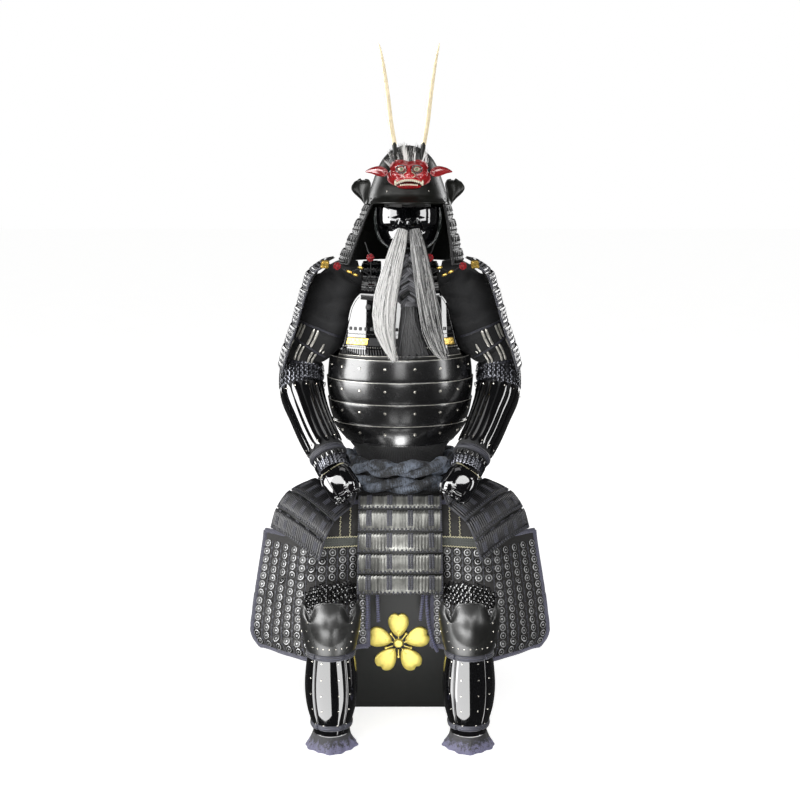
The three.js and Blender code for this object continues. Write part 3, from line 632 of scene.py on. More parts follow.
def grained():
    """Planed pine: streaks about 10 mm apart, drawn out fifteen times as long up the board."""

    def build(tree, colour, place, pattern, shade):
        drawn = add(tree, "Mapping", {"Vector": place, "Scale": (60.0, 60.0, 4.0)})
        rings = add(tree, "TexNoise", {"Vector": drawn, "Scale": 1.6, "Detail": 3.0})
        return surface_of(tree, rings, colour * 0.25, colour, rings, 0.4, 0.6, rings, 0.0002)

    return build


# What each finish is, and what it gives the eye.
FINISHES = {
    # black urushi lacquer, polished: mirror gloss with slow waves
    "polished_lacquer": (lacquer(0.04, 0.1, 0.0002), {"Coat Weight": 1.0, "Coat Roughness": 0.03}),
    # black lacquer rubbed down: soft broad highlights on the trunk plates
    "rubbed_lacquer": (lacquer(0.2, 0.32, 0.0002), {"Coat Weight": 0.7, "Coat Roughness": 0.17}),
    # charcoal lacquer left nearly matt: bowl, peak and turn-backs
    "charcoal_lacquer": (lacquer(0.3, 0.4, 0.0001, 0.6), {"Specular IOR Level": 0.25}),
    # grey-green lacquer of the mask's rim bands, satin
    "mask_rim": (lacquer(0.2, 0.3, 0.0002, 0.5), {"Coat Weight": 0.3}),
    # the same lacquer over the knee domes, rubbed until it holds one broad soft highlight
    "knee_lacquer": (lacquer(0.37, 0.43, 0.0001, 0.6), {"Specular IOR Level": 0.6, "Coat Weight": 0.3,
                                                        "Coat Roughness": 0.34}),
    # lacquered leather of the thigh lames, rubbed dull so that only its ribs shine
    "rubbed_leather": (lacquer(0.3, 0.42, 0.0002, 0.5), {"Specular IOR Level": 0.35}),
    # pewter-coloured lacquer of the front skirt, pale on its swells
    "pewter_lacquer": (lacquer(0.3, 0.42, 0.0002, 0.3), {"Metallic": 0.5}),
    # lacquer over leather scales: glossy, with a warm black
    "scale_lacquer": (lacquer(0.1, 0.24, 0.0002), {"Coat Weight": 0.7, "Coat Roughness": 0.08}),
    # black lacquered boards of the box, satin
    "box_lacquer": (lacquer(0.4, 0.5, 0.0002, 0.6), {"Specular IOR Level": 0.25}),
    # vermilion lacquer on carved wood; on the demon face it carries painted shade in its hollows and painted
    # light on its ridges
    "vermilion_lacquer": (lacquer(0.14, 0.3, 0.0003, 0.22), {"Coat Weight": 0.8, "Coat Roughness": 0.1}),
    # burnished pale steel of the splints; the same pale finish on the trunk plates' seam lines is a painted
    # highlight of their lit edges
    "steel_and_painted_highlight": (hammered(0.22, 0.4, 500.0), {"Metallic": 0.6}),
    # silvered plates gone dull, so their rings read pale from every side
    "silvered_iron": (hammered(0.4, 0.55, 700.0, 0.4), {"Metallic": 0.25}),
    # nickelled rivet heads
    "rivet_nickel": (hammered(0.18, 0.32), {"Metallic": 0.8}),
    # blackened iron rings of mail, rubbed grey
    "mail_iron": (hammered(0.22, 0.35), {"Metallic": 1.0}),
    # gilt copper, chased and a little worn
    "gilt_copper": (hammered(0.2, 0.36, 700.0), {"Metallic": 0.7}),
    # gold leaf over gesso: a bright even yellow
    "leaf_gold": (hammered(0.34, 0.46, 300.0, 0.8), {"Metallic": 0.25}),
    # the horns' pale soft gilding
    "pale_gold": (hammered(0.3, 0.45, 400.0, 0.75), {"Metallic": 0.2}),
    # polished bone of teeth and eyes
    "bone": (lacquer(0.2, 0.35, 0.0001, 0.7), {"Coat Weight": 0.4}),
    # sea-green enamel of the eyes
    "eye_enamel": (lacquer(0.1, 0.2, 0.0001), {"Coat Weight": 0.8}),
    # black cotton; its threads are drawn 2 mm wide, coarser than real ones, to show
    "sleeve_cloth": (woven(0.002, 0.12), {"Sheen Weight": 0.12, "Sheen Roughness": 0.4}),
    # brown-black silk, its threads drawn 2.4 mm wide to show
    "apron_cloth": (woven(0.0024, 0.35), {"Sheen Weight": 0.2, "Sheen Roughness": 0.4}),
    # grey band of the thigh guards, its threads drawn 3 mm wide to show
    "grey_cloth": (woven(0.003, 0.5, 0.4, 0.0006), {"Sheen Weight": 0.3}),
    # lavender-grey cotton binding, faded in patches, its threads drawn 2.2 mm wide to show
    "lavender_cloth": (woven(0.0022, 0.3, 0.5), {"Sheen Weight": 0.4}),
    # cotton printed with a small mottle of lavender on navy, its threads drawn 2.2 mm wide to show
    "hem_cloth": (woven(0.0022, 0.02, 1.0, 0.0004, 110.0, 2.5, (0.49, 0.58)), {"Sheen Weight": 0.1}),
    # indigo cotton of the belt, rubbed pale on its ridges and dark in its turns
    "belt_cotton": (woven(0.0026, 0.05, 0.8, 0.0007, 60.0, 3.0, (0.46, 0.66)),
                    {"Sheen Weight": 0.12, "Sheen Roughness": 0.5}),
    # indigo silk lacing braid, its ribs drawn 2.2 mm wide to show
    "lacing_braid": (plaited(0.0022), {"Sheen Weight": 0.4, "Sheen Roughness": 0.35}),
    # black silk lacing braid, ribbed the same
    "black_braid": (plaited(0.0022), {"Sheen Weight": 0.08}),
    # lavender-blue tie braid
    "tie_braid": (plaited(0.003, 0.16), {"Sheen Weight": 0.4}),
    # crimson silk floss of the pompoms
    "crimson_silk": (stranded(0.25), {}),
    # cream sewing thread
    "cream_thread": (stranded(0.75), {"Sheen Weight": 0.3}),
    # horsehair, white with dark streaks
    "pale_horsehair": (stranded(0.03), {"Anisotropic": 0.3}),
    # horsehair, black with grey streaks
    "dark_horsehair": (stranded(0.03), {"Anisotropic": 0.3}),
    # planed pine of the stand, stained black-brown
    "stained_pine": (grained(), {}),
}


def material(name):
    """The material of a finish, made when it is first asked for. Its builder returns what is linked to the
    shader; its constants are set on the shader's own sockets."""
    made = bpy.data.materials.get(name)
    if made is None:
        made = bpy.data.materials.new(name)
        made.use_nodes = True
        tree = made.node_tree
        shader = tree.nodes["Principled BSDF"]
        build, constants = FINISHES[name]
        for socket, value in constants.items():
            shader.inputs[socket].default_value = value
        place = add(tree, "TexCoord", {}, "Object")
        pattern = add(tree, "UVMap", {}, uv_map="pattern")
        shade = add(tree, "Attribute", {}, "Fac", attribute_name="shade")
        colour = np.array(getattr(bpy.context.scene.armour_colours, name))
        for socket, output in build(tree, colour, place, pattern, shade).items():
            tree.links.new(output, shader.inputs[socket])
    return made


# ---------------------------------------------------------------- stage


def soft_box(name, place, target, size, glow, seen_in="glossy"):
    """A rectangular light that faces its target. glow is its brightness, and seen_in says whether it shows in
    reflections or lights matt surfaces."""
    light = bpy.data.lights.new(name, "AREA")
    light.shape = "RECTANGLE"
    light.size, light.size_y = size
    light.energy = glow * math.pi * size[0] * size[1]
    lamp = bpy.data.objects.new(name, light)
    lamp.location = place
    way = np.subtract(target, place)
    lamp.rotation_euler = (math.atan2(math.hypot(way[0], way[1]), -way[2]), 0, math.atan2(-way[0], way[1]))
    lamp.visible_camera = False
    lamp.visible_glossy = seen_in == "glossy"
    lamp.visible_diffuse = seen_in == "diffuse"
    bpy.context.scene.collection.objects.link(lamp)


class ARMOUR_OT_stage(bpy.types.Operator):
    """Camera, pale floor and soft studio light"""

    bl_idname = "armour.stage"
    bl_label = "Stage"

    def execute(self, context):
        scene = context.scene
        lens = bpy.data.cameras.new("camera")
        lens.lens = 59
        lens.sensor_width = 36
        camera = bpy.data.objects.new("camera", lens)
        camera.location = (0, -3.44, 1.375)
        camera.rotation_euler = (math.radians(80.2), 0, 0)
        scene.collection.objects.link(camera)
        scene.camera = camera
        scene.view_settings.view_transform = "Standard"

        # White all round, but dimmer in reflections, as in a studio whose walls are dark beside its white
        # sweep.
        world = bpy.data.worlds.new("studio")
        world.use_nodes = True
        tree = world.node_tree
        matt = add(tree, "LightPath", {}, "Is Diffuse Ray")
        gloss = add(tree, "LightPath", {}, "Is Glossy Ray")
        seen = add(tree, "MapRange", {"Value": matt, "To Min": 1.0, "To Max": 0.33})
        mirrored = add(tree, "MapRange", {"Value": gloss, "To Min": 1.0, "To Max": 0.05})
        level = add(tree, "Math", {0: seen, 1: mirrored}, operation="MULTIPLY")
        tree.nodes["Background"].inputs["Color"].default_value = linear("#ffffff")
        tree.links.new(level, tree.nodes["Background"].inputs["Strength"])
        scene.world = world

        # The floor: a flat grid that reaches far past the armour on every side.
        reach = np.linspace(-30, 30, 7)
        points = stack(reach[None], reach[:, None], 0)
        quads, _ = grid_faces(len(reach), len(reach))
        mesh = bpy.data.meshes.new("floor")
        mesh.from_pydata(points.reshape(-1, 3).tolist(), [], quads.tolist())
        mesh.materials.append(floor_plaster())
        floor = bpy.data.objects.new("floor", mesh)
        scene.collection.objects.link(floor)
        floor.visible_glossy = False
        floor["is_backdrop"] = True

        chest_height = (0, 0, 0.9)
        soft_box("front_box", (0.0, -4.4, 1.95), chest_height, (2.0, 1.1), 9.0)
        soft_box("left_box", (-2.7, -1.35, 1.25), chest_height, (2.3, 2.4), 13.0)
        soft_box("right_box", (2.7, -1.5, 1.3), chest_height, (0.5, 2.2), 9.0)
        soft_box("trunk_card", (0, -0.44, 0.4), (0, -0.44, 1), (0.11, 0.18), 16.0)
        soft_box("left_cheek_box", (-1.95, -3.6, 2.7), (0, 0, 1.2), (3.0, 1.2), 10.0)
        soft_box("right_cheek_box", (1.95, -3.65, 2.7), (0, 0, 1.2), (2.2, 1.2), 9.0)
        soft_box("knee_box", (0.0, -4.2, 0.65), (0, 0, 0.4), (0.9, 0.8), 6.0)
        for side in (-1, 1):
            shin_at = (LEG[0] * side, LEG[1], 0.1)
            soft_box("shin_card", (shin_at[0] - 0.12, shin_at[1] - 0.22, 0.06), shin_at, (0.28, 0.32), 7.5)
            knee_at = (LEG[0] * side, -0.48, 0.34)
            soft_box("knee_card", (knee_at[0], -1.2, 0.21), knee_at, (0.24, 0.13), 4.0)
        soft_box("top_box", (0, -0.4, 3.4), chest_height, (2.0, 1.6), 1.5)
        soft_box("rear_left_box", (-2.3, 2.4, 1.5), chest_height, (0.9, 2.2), 8.0)
        soft_box("rear_right_box", (2.3, 2.4, 1.5), chest_height, (0.9, 2.2), 8.0)
        soft_box("fill", (-1.2, -3.6, 3.2), chest_height, (2.4, 2.0), 2.9, "diffuse")
        soft_box("rear_fill", (1.2, 3.4, 3.0), chest_height, (2.4, 2.0), 2.2, "diffuse")
        return {"FINISHED"}


def floor_plaster():
    """Matt white plaster, a little uneven, lit from below through its own thickness as a studio sweep is."""
    made = bpy.data.materials.new("floor_plaster")
    made.use_nodes = True
    tree = made.node_tree
    shader = tree.nodes["Principled BSDF"]
    shader.inputs["Roughness"].default_value = 0.9
    shader.inputs["Emission Color"].default_value = linear("#ffffff")
    shader.inputs["Emission Strength"].default_value = 0.7
    place = add(tree, "TexCoord", {}, "Object")
    cloud = add(tree, "TexNoise", {"Vector": place, "Scale": 3.0, "Detail": 3.0})
    shades = {0: cloud, 6: linear("#f4f4f3"), 7: linear("#fcfcfb")}
    tree.links.new(add(tree, "Mix", shades, 2, data_type="RGBA"), shader.inputs["Base Color"])
    return made


# ---------------------------------------------------------------- scales, laces and rivets on a surface


def scatter(k, salt=0.0):
    """A fixed value from 0 to 1 for each whole number, as if at random."""
    return np.modf(np.abs(np.sin(np.asarray(k, float) * 12.9898 + salt * 78.233 + 1.7) * 43758.5453))[0]


def lame(surface, across, down, scales, rise, ridge=0.0012, notch=0.06, crown=0.0):
    """One lame of narrow scales: a wall over a surface. Its face rises in one rounded ridge per scale, each
    scale's head is cut on a slant, and its long edges are eased. notch is a share of its height."""
    per_scale = 4
    place = np.arange(scales * per_scale + 1) / per_scale
    phase = place % 1
    t = np.array([0, 0.05, 0.2, 0.65, 0.93, 1.0])[:, None]
    a = np.linspace(*across, len(place))[None] + 0 * t
    head = notch * (1 - phase)[None] * (1 - t)
    d = mix(down[0], down[1], t + head * (1 - t))
    eased = 1 - np.abs(2 * t - 1) ** 12
    height = mix(rise[0], rise[1], t) + crown * 4 * t * (1 - t) + ridge * np.sin(np.pi * phase) ** 0.6 * eased
    outer, out = on_surface(surface, a, d, height + (eased - 1) * 0.001)
    shade = scatter(np.floor(place), down[0]) * 0.6 + 0.2
    return wall(outer, outer - out * 0.0026, shade=shade[None])


def plate(surface, across, down, thick=0.003, rise=0.0, crown=0.0, columns=49, rows=13, ease_edge=0.001,
          finish=0, size=(1, 1)):
    """A smooth plate over a surface between two places across and two down, with eased long edges. rise is
    how far it stands out, or a pair for its head and its foot, and crown is a parabola's height between
    them."""
    head, foot = np.broadcast_to(rise, 2)
    t = np.linspace(-1, 1, rows)
    t = (np.sign(t) * (1 - (1 - np.abs(t)) ** 1.6) + 1)[:, None] / 2
    a = np.linspace(*across, columns)[None] + 0 * t
    eased = 1 - np.abs(2 * t - 1) ** 10
    height = mix(head, foot, t) + crown * 4 * t * (1 - t) + (eased - 1) * ease_edge
    outer, out = on_surface(surface, a, mix(down[0], down[1], t) + 0 * a, height + 0 * a)
    return wall(outer, outer - out * thick, finish=finish, size=size)


def laces(surface, across, start, end, wide, thick=0.002, lift=0.0012, bow=0.0, slant=0.0, points=5,
          finish=0):
    """Flat laces over a surface, one at each place across, from one place down to another. bow is how far the
    middle stands out, and slant how far the end lies along from the start."""
    t = np.linspace(0, 1, points)
    across = np.asarray(across, float)
    a = across[:, None] + slant * t
    start, end = (np.broadcast_to(x, across.shape)[:, None] for x in (start, end))
    d = mix(start, end, t)
    here, out = on_surface(surface, a, d, lift + bow * np.sin(np.pi * t) + 0 * a)
    return cords(here, wide / 2, thick / 2, out, finish=finish, shades=scatter(np.arange(len(a))))


def studs(surface, across, down, wide, high, proud, form=RIVET, finish=0, lift=0.0):
    """Small forms set on a surface: half their width and height, and how proud they stand."""
    a, d = (x.ravel() for x in together(across, down))
    here, right, up, out = frames(surface, a, d)
    shades = scatter(np.arange(len(a)))
    return stamp(form, here + out * lift, right * wide, up * high, out * proud, finish, shades)


def edge_cord(surface, across, down, radius, lift, points, finish=0, flat=1.0):
    """A cord laid along a line on a surface, between two places. flat is its height's share of its width."""
    t = np.linspace(0, 1, points)
    a, d = mix(across[0], across[1], t), mix(down[0], down[1], t)
    here, out = on_surface(surface, a, d, lift + 0 * t)
    return cords(here[None], radius, radius * flat, out[None], finish=finish)


def side_cords(surface, places, down, radius, lift, points, finish=0):
    """Cords down a surface at several places across."""
    return [edge_cord(surface, (place, place), down, radius, lift, points, finish) for place in places]


def stitches(surface, across, down, long, wide, slant, lift, finish):
    """A row of short stitches: small pillows, turned from level by slant, or by the two of a pair in turn."""
    a, d = (x.ravel() for x in together(across, down))
    here, right, up, out = frames(surface, a, d)
    angle = np.resize(slant, len(a))
    c, s = np.cos(angle)[:, None], np.sin(angle)[:, None]
    return stamp(STITCH, here + out * lift, (right * c + up * s) * long / 2, (up * c - right * s) * wide / 2,
                 out * wide / 2, finish, scatter(np.arange(len(a)), 3))


def ring_link():
    """A round wire link that lies flat: a ring one unit in radius, swept round by a wire 0.2 thick to each
    side."""
    sides, around, wire = 9, 3, 0.2
    a, b = np.meshgrid(evenly_round(sides),
                       evenly_round(around), indexing="ij")
    points = stack((1 + wire * np.cos(b)) * np.cos(a), (1 + wire * np.cos(b)) * np.sin(a),
                   wire * np.sin(b)).reshape(-1, 3)
    quads, share = grid_faces(sides + 1, around, True)
    return outward(Shape(points, quads % (sides * around), share))


LINK = ring_link()


def mail(surface, across, down, pitch_a, pitch_d, size, lift, finish, keep=None):
    """Mail: rows of round links, every other row moved by half a link and tilted the other way."""
    a = np.arange(across[0], across[1], pitch_a)
    d = np.arange(down[0], down[1], pitch_d)
    i, j = np.meshgrid(np.arange(len(d)), np.arange(len(a)), indexing="ij")
    aa = (a[j] + (i % 2) * pitch_a / 2).ravel()
    dd = d[i].ravel()
    if keep is not None:
        kept = keep(aa, dd)
        aa, dd = aa[kept], dd[kept]
        i = i.ravel()[kept]
    here, right, up, out = frames(surface, aa, dd)
    lean = np.where(i.ravel() % 2, 0.45, -0.45)[:, None]
    tilted, facing = right * np.cos(lean) + out * np.sin(lean), out * np.cos(lean) - right * np.sin(lean)
    shades = scatter(np.arange(len(aa)))
    return stamp(LINK, here + out * lift, tilted * size, up * size, facing * size, finish, shades)


# ---------------------------------------------------------------- the armour's own surfaces

HEAD = (0.020, -0.025)
TRUNK_Y = -0.030
LEG = (0.167, -0.418)
# Heights in metres from which some surfaces are counted downwards.
BOWL_TOP, TRUNK_TOP, CHEST_TOP = 1.446, 1.110, 1.082

BOWL = mm([(1302, 101, 125), (1330, 98, 122), (1360, 88, 111), (1393, 75, 95), (1419, 58, 74), (1436, 38, 50),
           (1446, 16, 22)])
TRUNK = mm([(690, 141, 130), (716, 161, 138), (744, 174, 142), (799, 184, 146), (855, 186, 146),
            (912, 178, 142), (1010, 169, 130), (1110, 160, 118)])
PLATE_EDGES = mm([912, 855, 799, 744, 690])
CHEST = mm([(912.3, 158), (944, 147), (975, 139), (1010, 130), (1046, 120), (1068, 106), (1082, 90)])


def bowl(angle, z):
    """The helmet's bowl at an angle and a height: an ellipse whose half width and depth run along BOWL."""
    wide, deep = columns_of(along(BOWL, z))
    return round_point(*HEAD, z, wide, deep, angle)


def bowl_down(angle, down):
    """The bowl with its second place counted downwards, in metres below its top."""
    return bowl(angle, BOWL_TOP - down)


def trunk(angle, z):
    """The cuirass at an angle and a height: an ellipse whose half width and depth run along TRUNK."""
    wide, deep = columns_of(along(TRUNK, z))
    return round_point(0, TRUNK_Y, z, wide, deep, angle)


def trunk_down(angle, down):
    """The trunk with its second place counted downwards, in metres below its top."""
    return trunk(angle, TRUNK_TOP - down)


def line_surface(first, second, bulge):
    """A laced panel between two side lines: across goes from 0 to 1 and down from 0 to 1. Its middle stands
    out of the straight line between them by the bulge."""
    first, second = mm(first), mm(second)
    top, bottom = (first[0] + second[0]) / 2, (first[-1] + second[-1]) / 2
    wide = along(spaced(second), np.array(0.5)) - along(spaced(first), np.array(0.5))
    facing = unit(np.cross(bottom - top, wide))
    away = bottom - [0, TRUNK_Y, top[2]]
    away[2] = 0
    facing = facing * np.sign(facing @ away)

    def surface(across, down):
        across, down = together(across, down)
        a, b = along(spaced(first), down), along(spaced(second), down)
        arch = bulge * MM * (1 - (2 * across - 1) ** 2)
        return mix(a, b, across[..., None]) + facing * arch[..., None]

    return surface


def path_surface(rows, reference):
    """A sleeve-like surface round a path of middles with two radii. Its frame is carried along the path
    without twisting; angle 0 is towards the reference."""
    table = spaced(mm(rows))
    share = np.linspace(0, 1, 81)
    middles = along(table, share)[:, :3]
    ahead = unit(np.gradient(middles, axis=0))
    side, sides = np.array(reference, float), []
    for way in ahead:
        side = unit(side - way * (side @ way))
        sides.append(side)
    frame_table = np.column_stack([share, np.array(sides), np.cross(ahead, np.array(sides))])

    def surface(angle, down):
        angle, down = together(angle, down)
        row, axes = along(table, down), along(frame_table, down)
        return (
            row[..., :3]
            + axes[..., :3] * (row[..., 3] * np.cos(angle))[..., None]
            + axes[..., 3:] * (row[..., 4] * np.sin(angle))[..., None]
        )

    return surface


def tube(rows, reference, sides, rings, end=1, size=(1, 1), shade=0.5):
    """A closed solid along the rows of a path surface, from its start to a share of its length."""
    surface = path_surface(rows, reference)
    return lathe(surface(evenly_round(sides)[None], np.linspace(0, end, rings)[:, None]), size, shade=shade)


# ---------------------------------------------------------------- hanging ties, box and stand

TIES = {
    "tie_left_long": [(68, -236, 331), (68, -239, 290), (72, -240, 250), (80, -240, 210), (90, -239, 180),
                      (96, -238, 168)],
    "tie_left_short": [(59, -236, 331), (57, -239, 306), (54, -240, 280), (52, -240, 252)],
    "tie_right_long": [(-84, -236, 331), (-83, -239, 300), (-83, -240, 262), (-85, -240, 230)],
    "tie_right_short": [(-58, -236, 331), (-57, -239, 304), (-56, -240, 276), (-55, -240, 248)],
}


class ARMOUR_OT_ties(bpy.types.Operator):
    """The four braided ties that hang from the thigh guards' inner edges beside the box"""

    bl_idname = "armour.ties"
    bl_label = "Hanging ties"

    def execute(self, context):
        radius = sizes().tie_diameter / 2
        for name, route in TIES.items():
            path = along(spaced(mm(route)), np.linspace(0, 1, 28))
            shape = cords(path[None], radius, radius, (0, -1, 0), 12)
            piece = make_piece(name + "_braid", [shape], ["tie_braid"], "navy_cord", [name])
            run = line_length(path)
            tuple(path[0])
        return {"FINISHED"}


def rounded_square(rows):
    """A tray through rows of (half size, height): each level is a square with round corners, whose sides
    are a cosine and a sine raised to a seventh."""
    around, square = 96, 14
    turn = evenly_round(around) + np.pi / around
    c, s = np.cos(turn), np.sin(turn)
    x, y = np.sign(c) * np.abs(c) ** (2 / square), np.sign(s) * np.abs(s) ** (2 / square)
    rows = mm(rows)
    return lathe(stack(rows[:, :1] * x, rows[:, :1] * y, rows[:, 1:]))


def petal():
    """One petal of a blossom, 64 mm long and 60 mm wide, domed, with a small notch in its far edge: an egg
    whose half width grows outwards. Its foot is at the origin."""
    turn = evenly_round(60)
    share = np.array([1.0, 1.0, 0.97, 0.88, 0.7, 0.45, 0.2])[:, None]
    rise = np.array([-0.5, 0.3, 0.5, 0.68, 0.84, 0.95, 1.0])[:, None]
    y = 0.5 - 0.5 * np.cos(turn)
    x = np.sin(turn) * (0.5 + 0.5 * y)
    y = y - 0.09 * np.exp(-((x / 0.16) ** 2)) * (y > 0.5)
    return lathe(stack(share * x * 0.034, (0.58 + share * (y - 0.58)) * 0.064, rise * 0.0075))


class ARMOUR_OT_box(bpy.types.Operator):
    """The black lacquered armour box, its lid, and a raised gilt blossom on its front"""

    bl_idname = "armour.box"
    bl_label = "Armour box"

    def execute(self, context):
        body = rounded_square([(186, 10), (189, 12), (190, 16), (190, 488), (192, 488), (199, 488),
                               (200, 487), (200, 4), (198.5, 1), (196, 0)])
        make_piece("box_case", [body], ["box_lacquer"], "satin_lacquer", ["box_body"])
        lid = rounded_square([(198, 488.3), (200.5, 487.5), (200.5, 412.5), (201.2, 411.8), (207.6, 411.8),
                              (208.5, 413), (208.5, 493), (207.6, 496.8), (205, 499.2), (201, 499.8)])
        make_piece("box_cover", [lid], ["box_lacquer"], "satin_lacquer", ["box_lid"])

        middle = np.array([-0.004, -0.2005, 0.176])
        turn = np.pi / 2 + np.arange(5) * 2 * np.pi / 5
        up = stack(np.cos(turn), 0, np.sin(turn))
        across = stack(np.sin(turn), 0, -np.cos(turn))
        petals = stamp(petal(), middle + up * 0.019, across, up, FORWARD)
        heart = stamp(RIVET, middle, RIGHTWARDS * 0.014, UPWARDS * 0.014, FORWARD * 0.007)
        between = np.concatenate([up, unit(up + np.roll(up, 1, 0))])
        rays = middle + between[:, None] * np.linspace(0.015, 0.034, 5)[:, None] + FORWARD * 0.006
        threads = cords(rays, 0.0013, 0.0013, FORWARD)
        tips = stamp(RIVET, rays[:, -1] + FORWARD * 0.0005, (0.0036, 0, 0), (0, 0, 0.0036), FORWARD * 0.0032)
        make_piece("box_blossom", [petals, heart, threads, tips], ["leaf_gold"], "gilt_metal")
        return {"FINISHED"}


class ARMOUR_OT_stand(bpy.types.Operator):
    """The plain pine stand inside the armour, its edges eased"""

    bl_idname = "armour.stand"
    bl_label = "Stand"

    def execute(self, context):
        for node in ("stand_foot", "stand_post", "stand_shoulder_bar", "stand_head"):
            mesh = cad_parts[node].data.copy()
            piece = bpy.data.objects.new(node + "_pine", mesh)
            context.scene.collection.objects.link(piece)
            mesh.materials.clear()
            mesh.materials.append(material("stained_pine"))
            weld = piece.modifiers.new("weld", "WELD")
            weld.merge_threshold = 1e-5
            bevel = piece.modifiers.new("bevel", "BEVEL")
            bevel.width = 0.0025
            bevel.segments = 3
            bevel.limit_method = "ANGLE"
            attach(piece, "root")
            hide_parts(node)
        return {"FINISHED"}


# ---------------------------------------------------------------- helmet

PEAK = [(0.0, 1, 46), (0.4, 1, 52), (0.7, 5, 56), (1.0, 24, 58)]
PEAK_Z = [(0.0, 1352), (0.4, 1330), (0.7, 1316), (1.0, 1303)]
NECK_EDGES = np.linspace(0, 1, 5)
TURN_BACK = [(0.0, 116, 1360, 3), (0.06, 116, 1358, 13), (0.2, 117, 1351, 21), (0.4, 118, 1341, 23.5),
             (0.6, 116, 1330, 19), (0.8, 110, 1316, 11), (1.0, 104, 1300, 4)]


def peak(across, down):
    """The brow plate: across from -1 to 1, down from 0 to 1. It is the bowl's ellipse, widened and deepened
    along PEAK, so it hugs the bowl and flares out at its edge."""
    out, reach = columns_of(along(PEAK, down))
    z = along(PEAK_Z, down)[..., 0] * MM
    wide, deep = columns_of(along(BOWL, z))
    angle = across * np.radians(reach)
    out = (out + 2.6) * MM
    return round_point(*HEAD, z, wide + out * 0.45, deep + out, angle)


def neck(across, down):
    """The neck guard: across from 0 to 1 round the back from the wearer's left front corner, down from 0 to
    1. It is an ellipse that widens and deepens evenly downwards."""
    down = np.clip(down, -0.02, 1.02)
    open_angle = np.radians(mix(60, 54, down))
    angle = mix(open_angle, 2 * np.pi - open_angle, across)
    grow = np.clip(down, 0, 2) ** 0.9
    return round_point(mix(0.020, 0.002, down), mix(-0.025, -0.014, down), mix(1.298, 1.146, down),
                       mix(0.104, 0.162, grow), mix(0.128, 0.156, grow), angle)


def turn_back(across, down):
    """The turned-back leaf of the neck guard: across from its inner edge at -1 to its outer edge at 1, down
    from its round head at 0 to its foot at 1. It is cupped towards the front and leans outwards."""
    x, z, half = (v * MM for v in columns_of(along(TURN_BACK, down)))
    across = np.broadcast_to(across, x.shape) if np.ndim(across) == 0 else across
    cup = -0.104 + 0.012 * (1 - across**2) * np.sin(np.pi * np.clip(down, 0.02, 0.98)) ** 0.5 + 0.010 * across
    return stack(x + half * across, cup, z - 0.15 * half * across)


